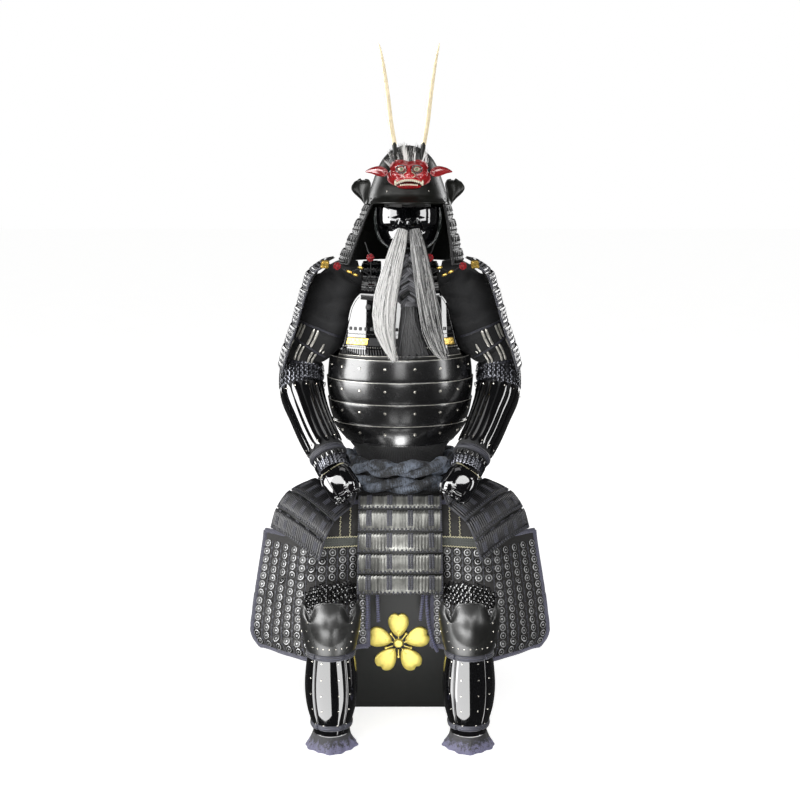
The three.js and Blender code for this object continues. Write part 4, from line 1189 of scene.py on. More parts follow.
class ARMOUR_OT_helmet(bpy.types.Operator):
    """Bowl, brow plate, turn-backs and the laced neck guard"""

    bl_idname = "armour.helmet"
    bl_label = "Helmet"

    def execute(self, context):
        self.shell()
        self.brow()
        self.neck_guard()
        self.turn_backs()
        return {"FINISHED"}

    def shell(self):
        """The bowl: rings up its outside and its inside, with a flat band, and rivets round its foot and
        its brow."""
        z = np.concatenate([np.linspace(1.302, 1.43, 26), mm([1436, 1440, 1443.5, 1445.4, 1446])])
        turn = evenly_round(72)
        wide, deep = columns_of(along(BOWL, z))
        taper = np.where(z > 1.436, np.sqrt(np.clip((1.4461 - z) / 0.0101, 0, 1)), 1)
        wide, deep = np.where(z > 1.436, 0.038 * taper, wide), np.where(z > 1.436, 0.050 * taper, deep)
        outer = round_point(*HEAD, z[:, None], wide[:, None], deep[:, None], turn[None])
        inner = round_point(*HEAD, z[:, None] - 0.003 * (z[:, None] > 1.303), wide[:, None] * 0.97 - 0.0005,
                            deep[:, None] * 0.975 - 0.0005, turn[None])
        around = np.radians(np.arange(0, 360, 15) + 7.5)
        brow = np.radians([-38, -24, 24, 38])
        shapes = [
            lathe(np.concatenate([inner[::-1], outer])),
            plate(lambda a, d: bowl(a, 1.330 - 0.026 * d), (0, 2 * np.pi), (0, 1), rise=(0.0012, 0.0016),
                  columns=97, rows=5),
            studs(bowl_down, around, BOWL_TOP - 1.312, 0.0028, 0.0028, 0.002, lift=0.0016),
            studs(bowl_down, brow, BOWL_TOP - 1.352, 0.003, 0.003, 0.0022, lift=0.0005),
        ]
        make_piece("helmet_shell", shapes, ["charcoal_lacquer"], "satin_lacquer", ["helmet_bowl"])

    def brow(self):
        """The brow plate with its rolled edge and two rivets."""
        shapes = [
            plate(peak, (-1, 1), (0, 1), thick=0.0024, columns=65, rows=15),
            edge_cord(peak, (-1, 1), (0.985, 0.985), 0.0016, 0.0002, 97),
            studs(peak, [-0.62, 0.62], 0.36, 0.0024, 0.0024, 0.002, finish=1),
        ]
        make_piece("helmet_brow", shapes, ["charcoal_lacquer", "rivet_nickel"], "satin_lacquer",
                   ["helmet_peak"])

    def neck_guard(self):
        """Four lames round the neck, each with flat laces and a row of knots, on a backing with corded
        edges."""
        shapes = [plate(neck, (0, 1), (0.002, 0.99), rise=-0.0002, thick=0.002, columns=91, rows=9,
                        finish=2)]
        for k, (top, bottom) in enumerate(neighbours(NECK_EDGES)):
            scales = 46 + 6 * k
            shapes.append(lame(neck, (0, 1), (top + 0.004, bottom - 0.012), scales, rise=(0.005, 0.001),
                               notch=0.05))
            spots = (np.arange(2 * scales // 3) + 0.5) / (2 * scales // 3)
            middle = mix(top, bottom, 0.16)
            shapes.append(laces(neck, spots, middle, mix(top, bottom, 0.5), 0.0052, 0.0022, 0.0052, finish=1))
            row = (np.arange(scales) + 0.5) / scales
            shapes.append(studs(neck, row, mix(top, bottom, 0.72), 0.0028, 0.0028, 0.0016, KNOT, 1, 0.0035))
        shapes.append(edge_cord(neck, (0, 1), (0.99, 0.99), 0.0022, 0.001, 160, 1))
        shapes += side_cords(neck, (0.002, 0.998), (0.01, 0.985), 0.003, 0.002, 40, 1)
        make_piece("neck_lames", shapes, ["charcoal_lacquer", "black_braid", "charcoal_lacquer"],
                   "black_lacquer", ["neck_guard"])

    def turn_backs(self):
        """The two turned-back leaves, each a cupped plate with a rolled rim."""
        leaf = plate(lambda a, d: turn_back(-np.asarray(a), d), (-1, 1), (0, 1), columns=31, rows=31)
        rim = side_cords(turn_back, (-0.99, 0.99), (0.03, 0.99), 0.0018, 0, 60)
        for side in ("left", "right"):
            shapes = placed([leaf, *rim], side, [HEAD[0], 0, 0])
            make_piece(f"turn_back_leaf_{side}", shapes, ["charcoal_lacquer"], "satin_lacquer",
                       [f"turn_back_{side}"])


# ---------------------------------------------------------------- crest

# The middle of the demon's face, its half width and height in millimetres, and how far its rim lies behind
# it.
CREST = np.array([0.022, -0.166, 1.373])
FACE_WIDE, FACE_HIGH, FACE_DEPTH = 53, 35, 14
EAR = [(54, 0, 3, 7, 4), (62, 1, 5, 11, 6), (74, 4, 8, 12.5, 6), (90, 8, 9, 8, 4), (101, 11, 7.5, 4, 2.4),
       (107, 12, 6, 1.2, 1)]
HORN = [(36, 16, 73, 6.2, 3), (45, 8, 127, 6.2, 2.8), (52, -2, 187, 5.6, 2.4), (61, -13, 252, 4.6, 2),
        (68, -21, 290, 3, 1.4), (73, -24, 311, 0.8, 0.6)]
SHEATH = [(33, 24, 24, 6, 5), (34, 21, 48, 6, 5), (36, 16.5, 74, 5.6, 4.2), (36.5, 16, 80, 4.6, 3)]
TUFT_CORE = [(22, -139, 1396, 50, 8), (22, -138, 1412, 50, 9), (22, -138, 1424, 36, 5)]


def upper_lip(x):
    """The height of the upper lip's edge, in millimetres: a parabola that falls to both sides."""
    return -9.5 - 8 * (x / 32) ** 2


def face_dome(x, z):
    """The dome under the face's relief, 24 mm high in the middle and nothing at the rim."""
    return 24 * (1 - np.clip((x / FACE_WIDE) ** 2 + (z / FACE_HIGH) ** 2, 0, 1) ** 1.5)


def demon_relief(x, z):
    """How far the demon's face stands forward of its rim, in millimetres, at x across and z up in
    millimetres: a dome, with bells for brows, eye hollows, nose, nostrils, cheeks, both lips and the
    open mouth, and a furrowed brow of sines."""
    off = np.abs(x)
    lip = upper_lip(x)
    return (
        face_dome(x, z)
        + 9 * bump(off, 23, 13) * bump(z, 25 - off * 0.05, 7)
        - 8 * np.exp(-(((off - 19) / 10) ** 2 + ((z - 12) / 7.5) ** 2))
        + 7 * bump(x, 0, 6) * bump(z, 12, 12)
        + 11 * bump(x, 0, 9) * bump(z, -1, 7)
        + 7 * bump(off, 11, 4.5) * bump(z, -3, 4.5)
        + 8 * bump(off, 34, 9) * bump(z, -1, 9)
        + 7 * bump(z, lip, 3.2) * (1 - ease(off, 32, 40))
        - 10 * bump(z, lip - 7.5, 4.5) * (1 - ease(off, 28, 36))
        + 7 * bump(z, lip * 0.55 - 21, 3.6) * (1 - ease(off, 26, 38))
        - 2 * np.sin(off * 0.55) ** 2 * bump(z, 29, 5)
    )


def on_face(x, z, proud=0.0):
    """Points on the demon's face, x and z in millimetres from its middle."""
    forward = FACE_DEPTH - demon_relief(np.asarray(x, float), np.asarray(z, float)) - proud
    return CREST + stack(x, forward, z) * MM


class ARMOUR_OT_crest(bpy.types.Operator):
    """The carved demon face with its ears, horns and tuft of hair"""

    bl_idname = "armour.crest"
    bl_label = "Crest"

    def execute(self, context):
        self.face()
        self.ears_and_horns()
        self.tuft()
        return {"FINISHED"}

    def face(self):
        """The carved face: rings that shrink to its middle, with eyes, curled cheeks, lids, fangs and
        teeth."""
        turn = evenly_round(128)
        c, s = np.cos(turn), np.sin(turn)
        # A squarish oval, swelled at the brows and cheeks and drawn in between them.
        rim = (1 + 0.1 * bump(np.abs(c), 0.5, 0.3) * (s > 0) - 0.1 * bump(c, 0, 0.14) * (s > 0)
               - 0.13 * bump(s, 0.22, 0.2) + 0.04 * bump(s, -0.3, 0.3)
               - 0.06 * bump(np.abs(c), 0.62, 0.16) * (s < -0.5))
        x, z = rim * np.sign(c) * np.abs(c) ** 0.8, rim * np.sign(s) * np.abs(s) ** 0.8
        share = np.concatenate([[0.3, 0.8, 0.97], np.linspace(1, 0.02, 44)])[:, None]
        x, z = share * x * FACE_WIDE, share * z * FACE_HIGH
        flat_back = CREST + stack(x, FACE_DEPTH + 0 * x, z) * MM
        rings = np.where((np.arange(len(share)) < 3)[:, None, None], flat_back, on_face(x, z))
        # Painted shade and painted highlight: the hollows are painted darker and the ridges lighter, by how
        # far the carving sinks below or stands over the dome.
        shade = np.clip(0.5 + (demon_relief(x, z) - face_dome(x, z)) / 14, 0, 1)
        shapes = [lathe(rings, shade=shade)]
        for side in (1, -1):
            eye = on_face(np.array([19.0 * side]), np.array([12.5]))
            for size, proud, lift, finish in ((10.4, 7.0, 0, 1), (4.4, 2.2, 0.0056, 2),
                                              (1.8, 1.2, 0.0074, 3)):
                shapes.append(stamp(RIVET, eye + FORWARD * lift, RIGHTWARDS * size * MM,
                                    UPWARDS * size * 0.8 * MM, FORWARD * proud * MM, finish))
            t = np.linspace(0, 1, 26)
            spiral = 2.5 + 7.5 * t
            cheek = (37 + spiral * np.cos(9 * t), -1 + spiral * 0.9 * np.sin(9 * t), 0.4, 0.0011, 0)
            nostril = (6 + 9 * np.sin(np.pi * t * 0.9), 6 - 14 * t, 0.2, 0.001, 1)
            lid = (19 + 12.5 * np.cos(2 * np.pi * t), 12.5 + 9.5 * np.sin(2 * np.pi * t), 0.5, 0.0018, 3)
            for off, z, proud, radius, finish in (cheek, nostril, lid):
                line = on_face(side * off, z, proud)[None]
                shapes.append(cords(line, radius, radius, FORWARD, finish=finish))
            fang = on_face(np.array([33.0 * side]), np.array([-20.0]), 3)
            shapes.append(stamp(RIVET, fang, RIGHTWARDS * 3.4 * MM, UPWARDS * 8 * MM, FORWARD * 5 * MM, 1))
        teeth = np.linspace(-29, 29, 13)
        shapes.append(stamp(TILE, on_face(teeth, -12.5 - 8 * (teeth / 32) ** 2, 2.5), RIGHTWARDS * 2.2 * MM,
                            UPWARDS * 4.6 * MM, FORWARD * 3.4 * MM, 1))
        low = np.linspace(-20, 20, 9)
        shapes.append(stamp(TILE, on_face(low, -25 - 3 * (low / 32) ** 2, 1), RIGHTWARDS * 2 * MM,
                            UPWARDS * 2.2 * MM, FORWARD * 3 * MM, 1))
        finishes = ["vermilion_lacquer", "bone", "eye_enamel", "polished_lacquer"]
        make_piece("demon_face", shapes, finishes, "red_lacquer", ["crest_face"], sharp=60)

    def ears_and_horns(self):
        """The pointed ears, each with a groove and a curl, and the flat gilt horns in their dark sheaths."""
        turn, down = evenly_round(24), np.linspace(0, 1, 30)
        rings = path_surface(EAR, (0, 0, 1))(turn[None], down[:, None])
        groove = bump(turn, 1.5 * np.pi, 0.5) * 0.0028
        middle = rings.mean(1, keepdims=True)
        rings = mix(rings, middle, (groove[None] / np.maximum(np.linalg.norm(rings - middle, axis=-1), 1e-4)
                                    * np.sin(np.pi * down)[:, None])[..., None])
        t = np.linspace(0, 1, 24)
        curl = stack(57 + (2 + 6 * t) * np.cos(8 * t), -6 - 0 * t, 5 + (2 + 6 * t) * np.sin(8 * t)) * MM
        ear = [lathe(rings), cords(curl[None], 0.0011, 0.0011, (0, -1, 0))]
        horn = tube(HORN, (1, 0, 0), 24, 60, size=(1, 0.25))
        sheath = tube(SHEATH, (1, 0, 0), 24, 16)
        for side in ("left", "right"):
            make_piece(f"demon_ear_{side}", placed(ear, side, CREST), ["vermilion_lacquer"], "red_lacquer",
                       [f"crest_ear_{side}"])
            make_piece(f"gilt_horn_{side}", placed([horn], side, CREST), ["pale_gold"], "gilt_metal",
                       [f"crest_horn_{side}"])
            make_piece(f"horn_sheath_{side}", placed([sheath], side, CREST), ["charcoal_lacquer"],
                       "black_lacquer")

    def tuft(self):
        """The tuft of hair on its dark core: seven strands share a foot and a lean, and part towards their
        tips."""
        k = np.arange(sizes().tuft)
        tuft = k // 7
        across = scatter(tuft, 1) * 2 - 1
        root = stack(across * 46 + 3 * (scatter(k, 9) - 0.5), 12 + 28 * scatter(tuft, 2),
                     16 + 12 * (1 - across**2) * scatter(tuft, 3))
        lean = stack(across * 12 + 16 * (scatter(tuft, 4) - 0.5) + 5 * (scatter(k, 10) - 0.5),
                     -10 + 14 * scatter(tuft, 5),
                     25 + 25 * scatter(tuft, 6) - 14 * across**2 + 7 * scatter(k, 11))
        t = np.linspace(0, 1, 7)[None, :, None]
        sway = stack(np.sin(k * 1.7) * 3, np.cos(k * 2.3) * 3, 0)
        paths = CREST + (root[:, None] + lean[:, None] * t + sway[:, None] * t * t) * MM
        taper = np.linspace(1, 0.2, 7)[None] * 0.0014
        paleness = np.where(scatter(tuft, 7) > 0.5, 0.0, 0.8) + 0.3 * scatter(k, 8)
        strands = cords(paths, taper, taper, (0, -1, 0.1), 3, shades=paleness)
        core = tube(TUFT_CORE, (1, 0, 0), 24, 8, shade=0.1)
        make_piece("crest_tuft", [core, strands], ["pale_horsehair"], "dark_hair", ["crest_fur"])


# ---------------------------------------------------------------- face mask, throat guard and hair

MASK = mm([(1292, 86, 104, 84), (1272, 88, 108, 84), (1256, 88, 112, 83), (1244, 86, 110, 82),
           (1222, 82, 108, 80), (1202, 72, 104, 76), (1188, 56, 92, 70)])


def mask(across, down):
    """The half mask: across from -1 to 1, down from 0 at the eyes to 1 at the chin. The nose, its wings, the
    cheeks, the mouth and the chin are bells that stand out of an ellipse."""
    z = 1.292 - 0.104 * down
    wide, deep, reach = columns_of(along(MASK, z))
    angle = across * np.radians(reach / MM)
    point = round_point(*HEAD, z, wide, deep, angle)
    x, h = np.abs(point[..., 0] - HEAD[0]) / MM, z / MM
    nose_wide = mix(7, 13, ease(1292 - h, 0, 34))
    out = (
        mix(14, 40, ease(1292 - h, -6, 34)) * bump(x, 0, nose_wide) * (1 - ease(1252 - h, 0, 9))
        + 10 * bump(x, 13, 6) * bump(h, 1254, 6)
        + 0.36 * np.clip(x - 13, 0, 56) * ease(h, 1232, 1250) * (1 - ease(x, 72, 92))
        - 3.5 * bump(x, 24 + (1256 - h) * 0.5, 5) * ease(1262 - h, -6, 6) * (1 - ease(1238 - h, 0, 14))
        - 6 * (1 - ease(x, 16, 28)) * bump(h, 1229, 6)
        + 5 * (1 - ease(x, 16, 30)) * bump(h, 1219, 4.5)
        + 8 * bump(x, 0, 17) * bump(h, 1203, 9)
    )
    return point - stack(0, out * MM, 0) * [0, 1, 0]


THROAT = [(0.0, 20, 1183, 50, 78), (1.0, 0, 1112, 40, 104)]


def throat(across, down):
    """The throat guard: across from -1 to 1 over 62 degrees each side of an ellipse, down along THROAT."""
    x, z, wide, deep = (v * MM for v in columns_of(along(THROAT, down)))
    return round_point(x, -0.040, z, wide, deep, across * np.radians(62))


HANK_LEFT = [(36, -166, 1238, 13, 8), (44, -180, 1200, 19, 11), (54, -189, 1140, 22, 12),
             (66, -194, 1070, 24, 12), (80, -197, 1000, 25, 11), (98, -198, 945, 17, 8),
             (112, -197, 918, 5, 3)]
HANK_RIGHT = [(6, -166, 1238, 13, 8), (-4, -180, 1200, 19, 11), (-20, -189, 1140, 24, 12),
              (-36, -194, 1070, 29, 12), (-40, -197, 1000, 27, 11), (-26, -198, 945, 14, 8),
              (-14, -197, 912, 4, 3)]
PLAIT = mm([(1176, 8, 5), (1146, 17, 6), (1118, 30, 6.5), (1070, 31, 6.5), (1044, 17, 6)])
TASSEL = [(22, -170, 1056, 17, 6), (22, -176, 1036, 20, 7), (23, -181, 1005, 25, 8), (27, -184, 960, 34, 8),
          (34, -186, 918, 43, 6)]


def hair(rows, count, salt, greys, radius, points=11, ragged=0.14, wild=1.0):
    """Strands that run down a hank. Each keeps its own place in the hank's section, sways in a sine that
    grows downwards and ends a little early. Their shades lie between the two greys."""
    hank = path_surface(rows, (1, 0, 0))
    k = np.arange(count)
    turn = scatter(k, salt) * 2 * np.pi
    reach = np.sqrt(scatter(k, salt + 1)) * 0.98
    end = 1 - ragged * scatter(k, salt + 2) ** 2
    t = np.linspace(0.0, 1, points)[None] * end[:, None]
    middle = (hank(0 * t, t) + hank(0 * t + np.pi, t)) / 2
    rim = hank(turn[:, None] + 0.25 * np.sin(5 * t + k[:, None]), t)
    paths = mix(middle, rim, reach[:, None, None])
    wave = stack(np.sin(7 * t + k[:, None] * 1.3), 0, 0) * t[..., None] * 0.0016 * wild
    taper = radius * np.linspace(1, 0.4, points)[None] * (0.7 + 0.6 * scatter(k, salt + 3))[:, None]
    # One strand in four is dark, and the hank grows paler towards its foot.
    streak = np.where(scatter(k, salt + 5) < 0.25, 0.25, 1.0)
    grey = mix(*greys, scatter(k, salt + 4)) * streak
    shades = grey[:, None] * (0.75 + 0.35 * t)
    return cords(paths + wave, taper, taper, (0, -1, 0), 3, shades=shades)


def core_of(rows, share, shade):
    """The solid heart of a hank, inside its strands."""
    thin = [(x, y, z, a * share, b * share) for x, y, z, a, b in rows]
    return tube(thin, (1, 0, 0), 20, 30, 0.93, shade=shade)


class ARMOUR_OT_mask(bpy.types.Operator):
    """The lacquered half mask with its laced throat guard"""

    bl_idname = "armour.mask"
    bl_label = "Face mask"

    def execute(self, context):
        shapes = [plate(mask, (-1, 1), (0, 1), columns=101, rows=55, ease_edge=0.0006)]
        for side in (-1, 1):
            shapes.append(plate(mask, (0.9 * side - 0.075, 0.9 * side + 0.075), (0.02, 0.97), rise=0.0016,
                                columns=11, rows=25, thick=0.0015, crown=0.001, finish=1))
        shapes.append(edge_cord(mask, (-0.98, 0.98), (0.985, 0.985), 0.0022, 0.0, 80, 1))
        make_piece("face_mask_plate", shapes, ["polished_lacquer", "mask_rim"], "black_lacquer",
                   ["face_mask"], sharp=60)
        shapes = []
        for k in range(3):
            top, bottom = k / 3, (k + 1) / 3
            shapes.append(lame(throat, (-1, 1), (top + 0.01, bottom - 0.02), 14, rise=(0.006, 0.003)))
            shapes.append(laces(throat, np.linspace(-0.9, 0.9, 8), mix(top, bottom, 0.2),
                                mix(top, bottom, 0.7), 0.006, lift=0.0062, finish=1))
        make_piece("throat_lames", shapes, ["scale_lacquer", "lacing_braid"], "black_lacquer",
                   ["throat_guard"])
        return {"FINISHED"}


class ARMOUR_OT_hair(bpy.types.Operator):
    """The two hanks of horsehair under the nose, the plaited chin cord and its tassel"""

    bl_idname = "armour.hair"
    bl_label = "Moustache and knot"

    def execute(self, context):
        # Painted light and painted shade: the wearer's right hank gets paler greys, as if lit from that side,
        # and the left hank darker ones. Each hank's core takes its darkest grey.
        for name, rows, salt, greys in (("left", HANK_LEFT, 20, (-0.25, 0.95)),
                                        ("right", HANK_RIGHT, 40, (0.75, 1.5))):
            strands = hair(rows, sizes().strands, salt, greys, sizes().strand)
            stray = hair(rows, 60, salt + 7, (0.5, 1.0), 0.0006, wild=5)
            make_piece(f"moustache_hair_{name}", [core_of(rows, 0.72, greys[0]), strands, stray],
                       ["pale_horsehair"], "pale_hair", [f"moustache_{name}"])
        # Three strands of four cords each pass over one another in turn down the knot.
        z = np.linspace(PLAIT[0, 0], PLAIT[-1, 0], 110)
        knot = along(PLAIT, z)
        shapes = []
        for strand in range(3):
            phase = (PLAIT[0, 0] - z) / 0.132 * 2 * np.pi * 1.75 + strand * 2 * np.pi / 3
            sway = np.clip(knot[:, 0] - 0.009, 0.002, 1)
            middle = stack(0.022 + sway * np.sin(phase), -0.171 - 0.007 * np.sin(2 * phase), z)
            heading = unit(np.gradient(middle, axis=0))
            side = unit(np.cross(heading, np.broadcast_to([0, -1.0, 0], heading.shape)))
            spread_out = (np.arange(4) - 1.5)[:, None, None] * 0.0052 * side[None]
            shapes.append(cords(middle[None] + spread_out, 0.0029, 0.0032, (0, -1, 0), 8,
                                shades=scatter(np.arange(4), strand)))
        binding = evenly_round(24)
        rings = [stack(0.022 + 0.018 * np.cos(binding), -0.170 + 0.008 * np.sin(binding), zz) for zz in
                 (1.050, 1.0545, 1.059)]
        shapes.append(cords(np.array(rings), 0.0025, 0.0025, (0, 0, 1), 8, loop=True))
        make_piece("chin_cord_plait", shapes, ["dark_horsehair"], "navy_cord", ["chest_knot"])
        shapes = [core_of(TASSEL, 0.8, 0.1), hair(TASSEL, 340, 60, (0.05, 0.5), 0.0011, 9, 0.2)]
        make_piece("chin_cord_tassel", shapes, ["dark_horsehair"], "dark_hair", ["chest_tassel"])
        return {"FINISHED"}


# ---------------------------------------------------------------- cuirass and straps


def chest(across, down):
    """The chest plate over the front of the trunk's ellipse: across from -1 to 1 as far out as CHEST says
    at each height, down in metres below its top edge. Above its foot it stands forward by a parabola
    across."""
    z = CHEST_TOP - down
    wide = along(TRUNK, z)[..., 0]
    reach = along(CHEST, z)[..., 0]
    point = trunk(across * np.arcsin(np.clip(reach / (wide + 0.003), -1, 1)), z)
    return point - stack(0, 0.008 * (point[..., 0] / 0.145) ** 2 * ease(z, 0.912, 0.94), 0)


def mirrored_front(shapes):
    """Shapes of the front turned over to the back of the trunk."""
    turned = []
    for shape in shapes:
        points = shape.points * [1, -1, 1] + [0, 2 * TRUNK_Y, 0]
        turned.append(outward(Shape(points, shape.faces, shape.pattern, shape.shade, shape.finish)))
    return turned


STRAP = [(86, 106, 1090), (82, 84, 1126), (76, 48, 1143), (72, -12, 1148), (70, -64, 1144), (71, -110, 1121),
         (75, -143, 1092), (78, -153, 1062)]


def strap(across, down):
    """A shoulder strap from the back over the shoulder to the chest: across from -1 to 1, 22 mm to each
    side of a curve through STRAP, down it from 0 to 1."""
    across, down = together(across, down)
    line = spaced(mm(STRAP))
    middle = along(line, down)
    ahead = unit(along(line, down + 0.01) - along(line, down - 0.01))
    side = unit(np.array([1.0, 0, 0]) - ahead * ahead[..., :1])
    return middle + side * (across * 0.022)[..., None]


class ARMOUR_OT_cuirass(bpy.types.Operator):
    """The riveted trunk plates, the chest and back plates with their laced bands, and the shoulder straps"""

    bl_idname = "armour.cuirass"
    bl_label = "Cuirass"

    def execute(self, context):
        half = np.pi / 2 - 0.001
        rivet = sizes().rivet
        front = []
        # Each plate has a pale cord at its head, a painted highlight of the plate's edge where it catches the
        # light, three pairs of rivets, and a smaller rivet at each side.
        for top, bottom in neighbours(PLATE_EDGES):
            down = (TRUNK_TOP - top + 0.0005, TRUNK_TOP - bottom + 0.003)
            front.append(plate(trunk_down, (-half, half), down, rise=(0.0062, 0.003), columns=81, rows=11,
                               ease_edge=0.0012))
            line = TRUNK_TOP - top + 0.002
            front.append(edge_cord(trunk_down, (-half, half), (line, line), 0.0009, 0.0059, 121, 2))
            middle = mix(top, bottom, 0.42)
            wide = along(TRUNK, middle)[0]
            for x in (0.037, 0.100, 0.145):
                angle = math.asin(x / wide)
                front.append(studs(trunk_down, [-angle, angle], TRUNK_TOP - middle, rivet, rivet, rivet * 0.8,
                                   lift=0.0048, finish=1))
            front.append(studs(trunk_down, [-1.24, 1.24], TRUNK_TOP - middle, 0.0036, 0.0036, 0.003,
                               lift=0.0048, finish=1))
        front.append(edge_cord(trunk_down, (-half, half), (0.4195, 0.4195), 0.0026, 0.0015, 121))
        finishes = ["rubbed_lacquer", "rivet_nickel", "steel_and_painted_highlight"]
        make_piece("trunk_front_plates", front, finishes, "black_lacquer", ["cuirass_front"])
        make_piece("trunk_back_plates", mirrored_front(front), finishes, "black_lacquer", ["cuirass_back"])

        plates = [plate(chest, (-1, 1), (0, 0.1695), rise=0.003, columns=65, rows=17)]
        plates.append(edge_cord(chest, (-0.995, 0.995), (0.002, 0.002), 0.0034, 0.0015, 60))
        plates += side_cords(chest, (-0.995, 0.995), (0.002, 0.168), 0.0034, 0.0015, 60)
        plates += self.bands()
        finishes = ["polished_lacquer", "black_braid", "steel_and_painted_highlight", "gilt_copper", "sleeve_cloth",
                    "charcoal_lacquer"]
        make_piece("chest_front_plate", plates, finishes, "black_lacquer", ["chest_plate"])
        make_piece("chest_back_plate", mirrored_front(plates), finishes, "black_lacquer", ["back_plate"])
        self.straps()
        return {"FINISHED"}

    def bands(self):
        """The rows of lacing holes, gilt plaques, slanted lacing and the flange over the riveted plates."""
        z = lambda height: CHEST_TOP - height * MM
        shapes = []
        spots = np.linspace(-0.9, 0.9, 18)
        shapes.append(studs(chest, spots, z(988), 0.0042, 0.0046, 0.0016, TILE, 1, 0.0034))
        shapes.append(stitches(chest, np.linspace(-0.94, 0.94, 60), z(975), 0.006, 0.0016, (0.5, -0.5),
                               0.0036, 1))
        shapes.append(plate(chest, (-0.96, 0.96), (z(966), z(946)), rise=0.0042, columns=65, rows=5,
                            thick=0.001, finish=4, size=(0.28, 0.02)))
        for start, end in ((-0.9, -0.5), (0.56, 0.92)):
            shapes.append(plate(chest, (start, end), (z(965), z(947)), rise=0.0056, columns=25, rows=9,
                                thick=0.0016, finish=3, ease_edge=0.0008))
            veins = np.linspace(start + 0.04, end - 0.04, 9)
            shapes.append(studs(chest, veins, z(956) + 0.0025 * np.cos(np.arange(9) * np.pi), 0.0034,
                                0.0026, 0.0014, RIVET, 3, 0.0056))
        teeth = np.linspace(-0.95, 0.95, 50)
        shapes.append(studs(chest, teeth, z(942), 0.0021, 0.0026, 0.0016, TOOTH, 2, 0.0034))
        shapes.append(laces(chest, np.linspace(-0.96, 0.94, 48), z(937), z(923), 0.0034, 0.002, 0.004,
                            slant=0.03, points=4, finish=1))
        shapes.append(plate(chest, (-0.985, 0.985), (z(921), z(911.5)), rise=(0.0068, 0.0075), columns=65,
                            rows=5, thick=0.004, finish=5))
        shapes.append(edge_cord(chest, (-0.98, 0.98), (z(921), z(921)), 0.0011, 0.0068, 97, 2))
        for side in (-0.62, 0.62):
            shapes.append(studs(chest, side, z(1043), 0.0085, 0.0085, 0.0022, RIVET, 1, 0.003))
        return shapes

    def straps(self):
        """The straps' nine lacquered plates over a braided backing, with crossed laces over the gaps."""
        edges = np.linspace(0.02, 0.98, 10)
        shapes = [plate(strap, (-0.96, 0.96), (0.0, 1.0), rise=0.0004, thick=0.0022, columns=7, rows=20,
                        finish=1, size=(0.044, 0.3))]
        for top, bottom in neighbours(edges):
            shapes.append(plate(strap, (-1, 1), (top + 0.008, bottom - 0.014), rise=0.0018, thick=0.0016,
                                columns=17, rows=9, crown=0.0006))
        for gap in edges[1:-1]:
            for slant in (0.5, -0.5):
                start = np.array([-0.6, 0.1]) if slant > 0 else np.array([-0.1, 0.6])
                shapes.append(laces(strap, start, gap - 0.03, gap + 0.028, 0.0034, 0.0018, 0.0026,
                                    slant=slant, points=6, finish=1))
        make_pair("strap_plates", shapes, ["polished_lacquer", "black_braid"], "black_lacquer",
                  ["shoulder_strap"])


# ---------------------------------------------------------------- shoulder guards

GUARD_LINE = [(196, 1154), (236, 1127), (253, 1085), (267, 1040), (281, 992), (301, 938), (318, 878)]


def guard(across, down):
    """A shoulder guard: across from -1 at the front to 1 at the back, down from 0 to 1 along a curve through
    GUARD_LINE. Its ends fall inwards by a parabola."""
    across, down = together(across, down)
    x, z = columns_of(along(spaced(mm(GUARD_LINE)), down))
    return stack(x - 0.020 * across**2, -0.016 + 0.132 * across, z)


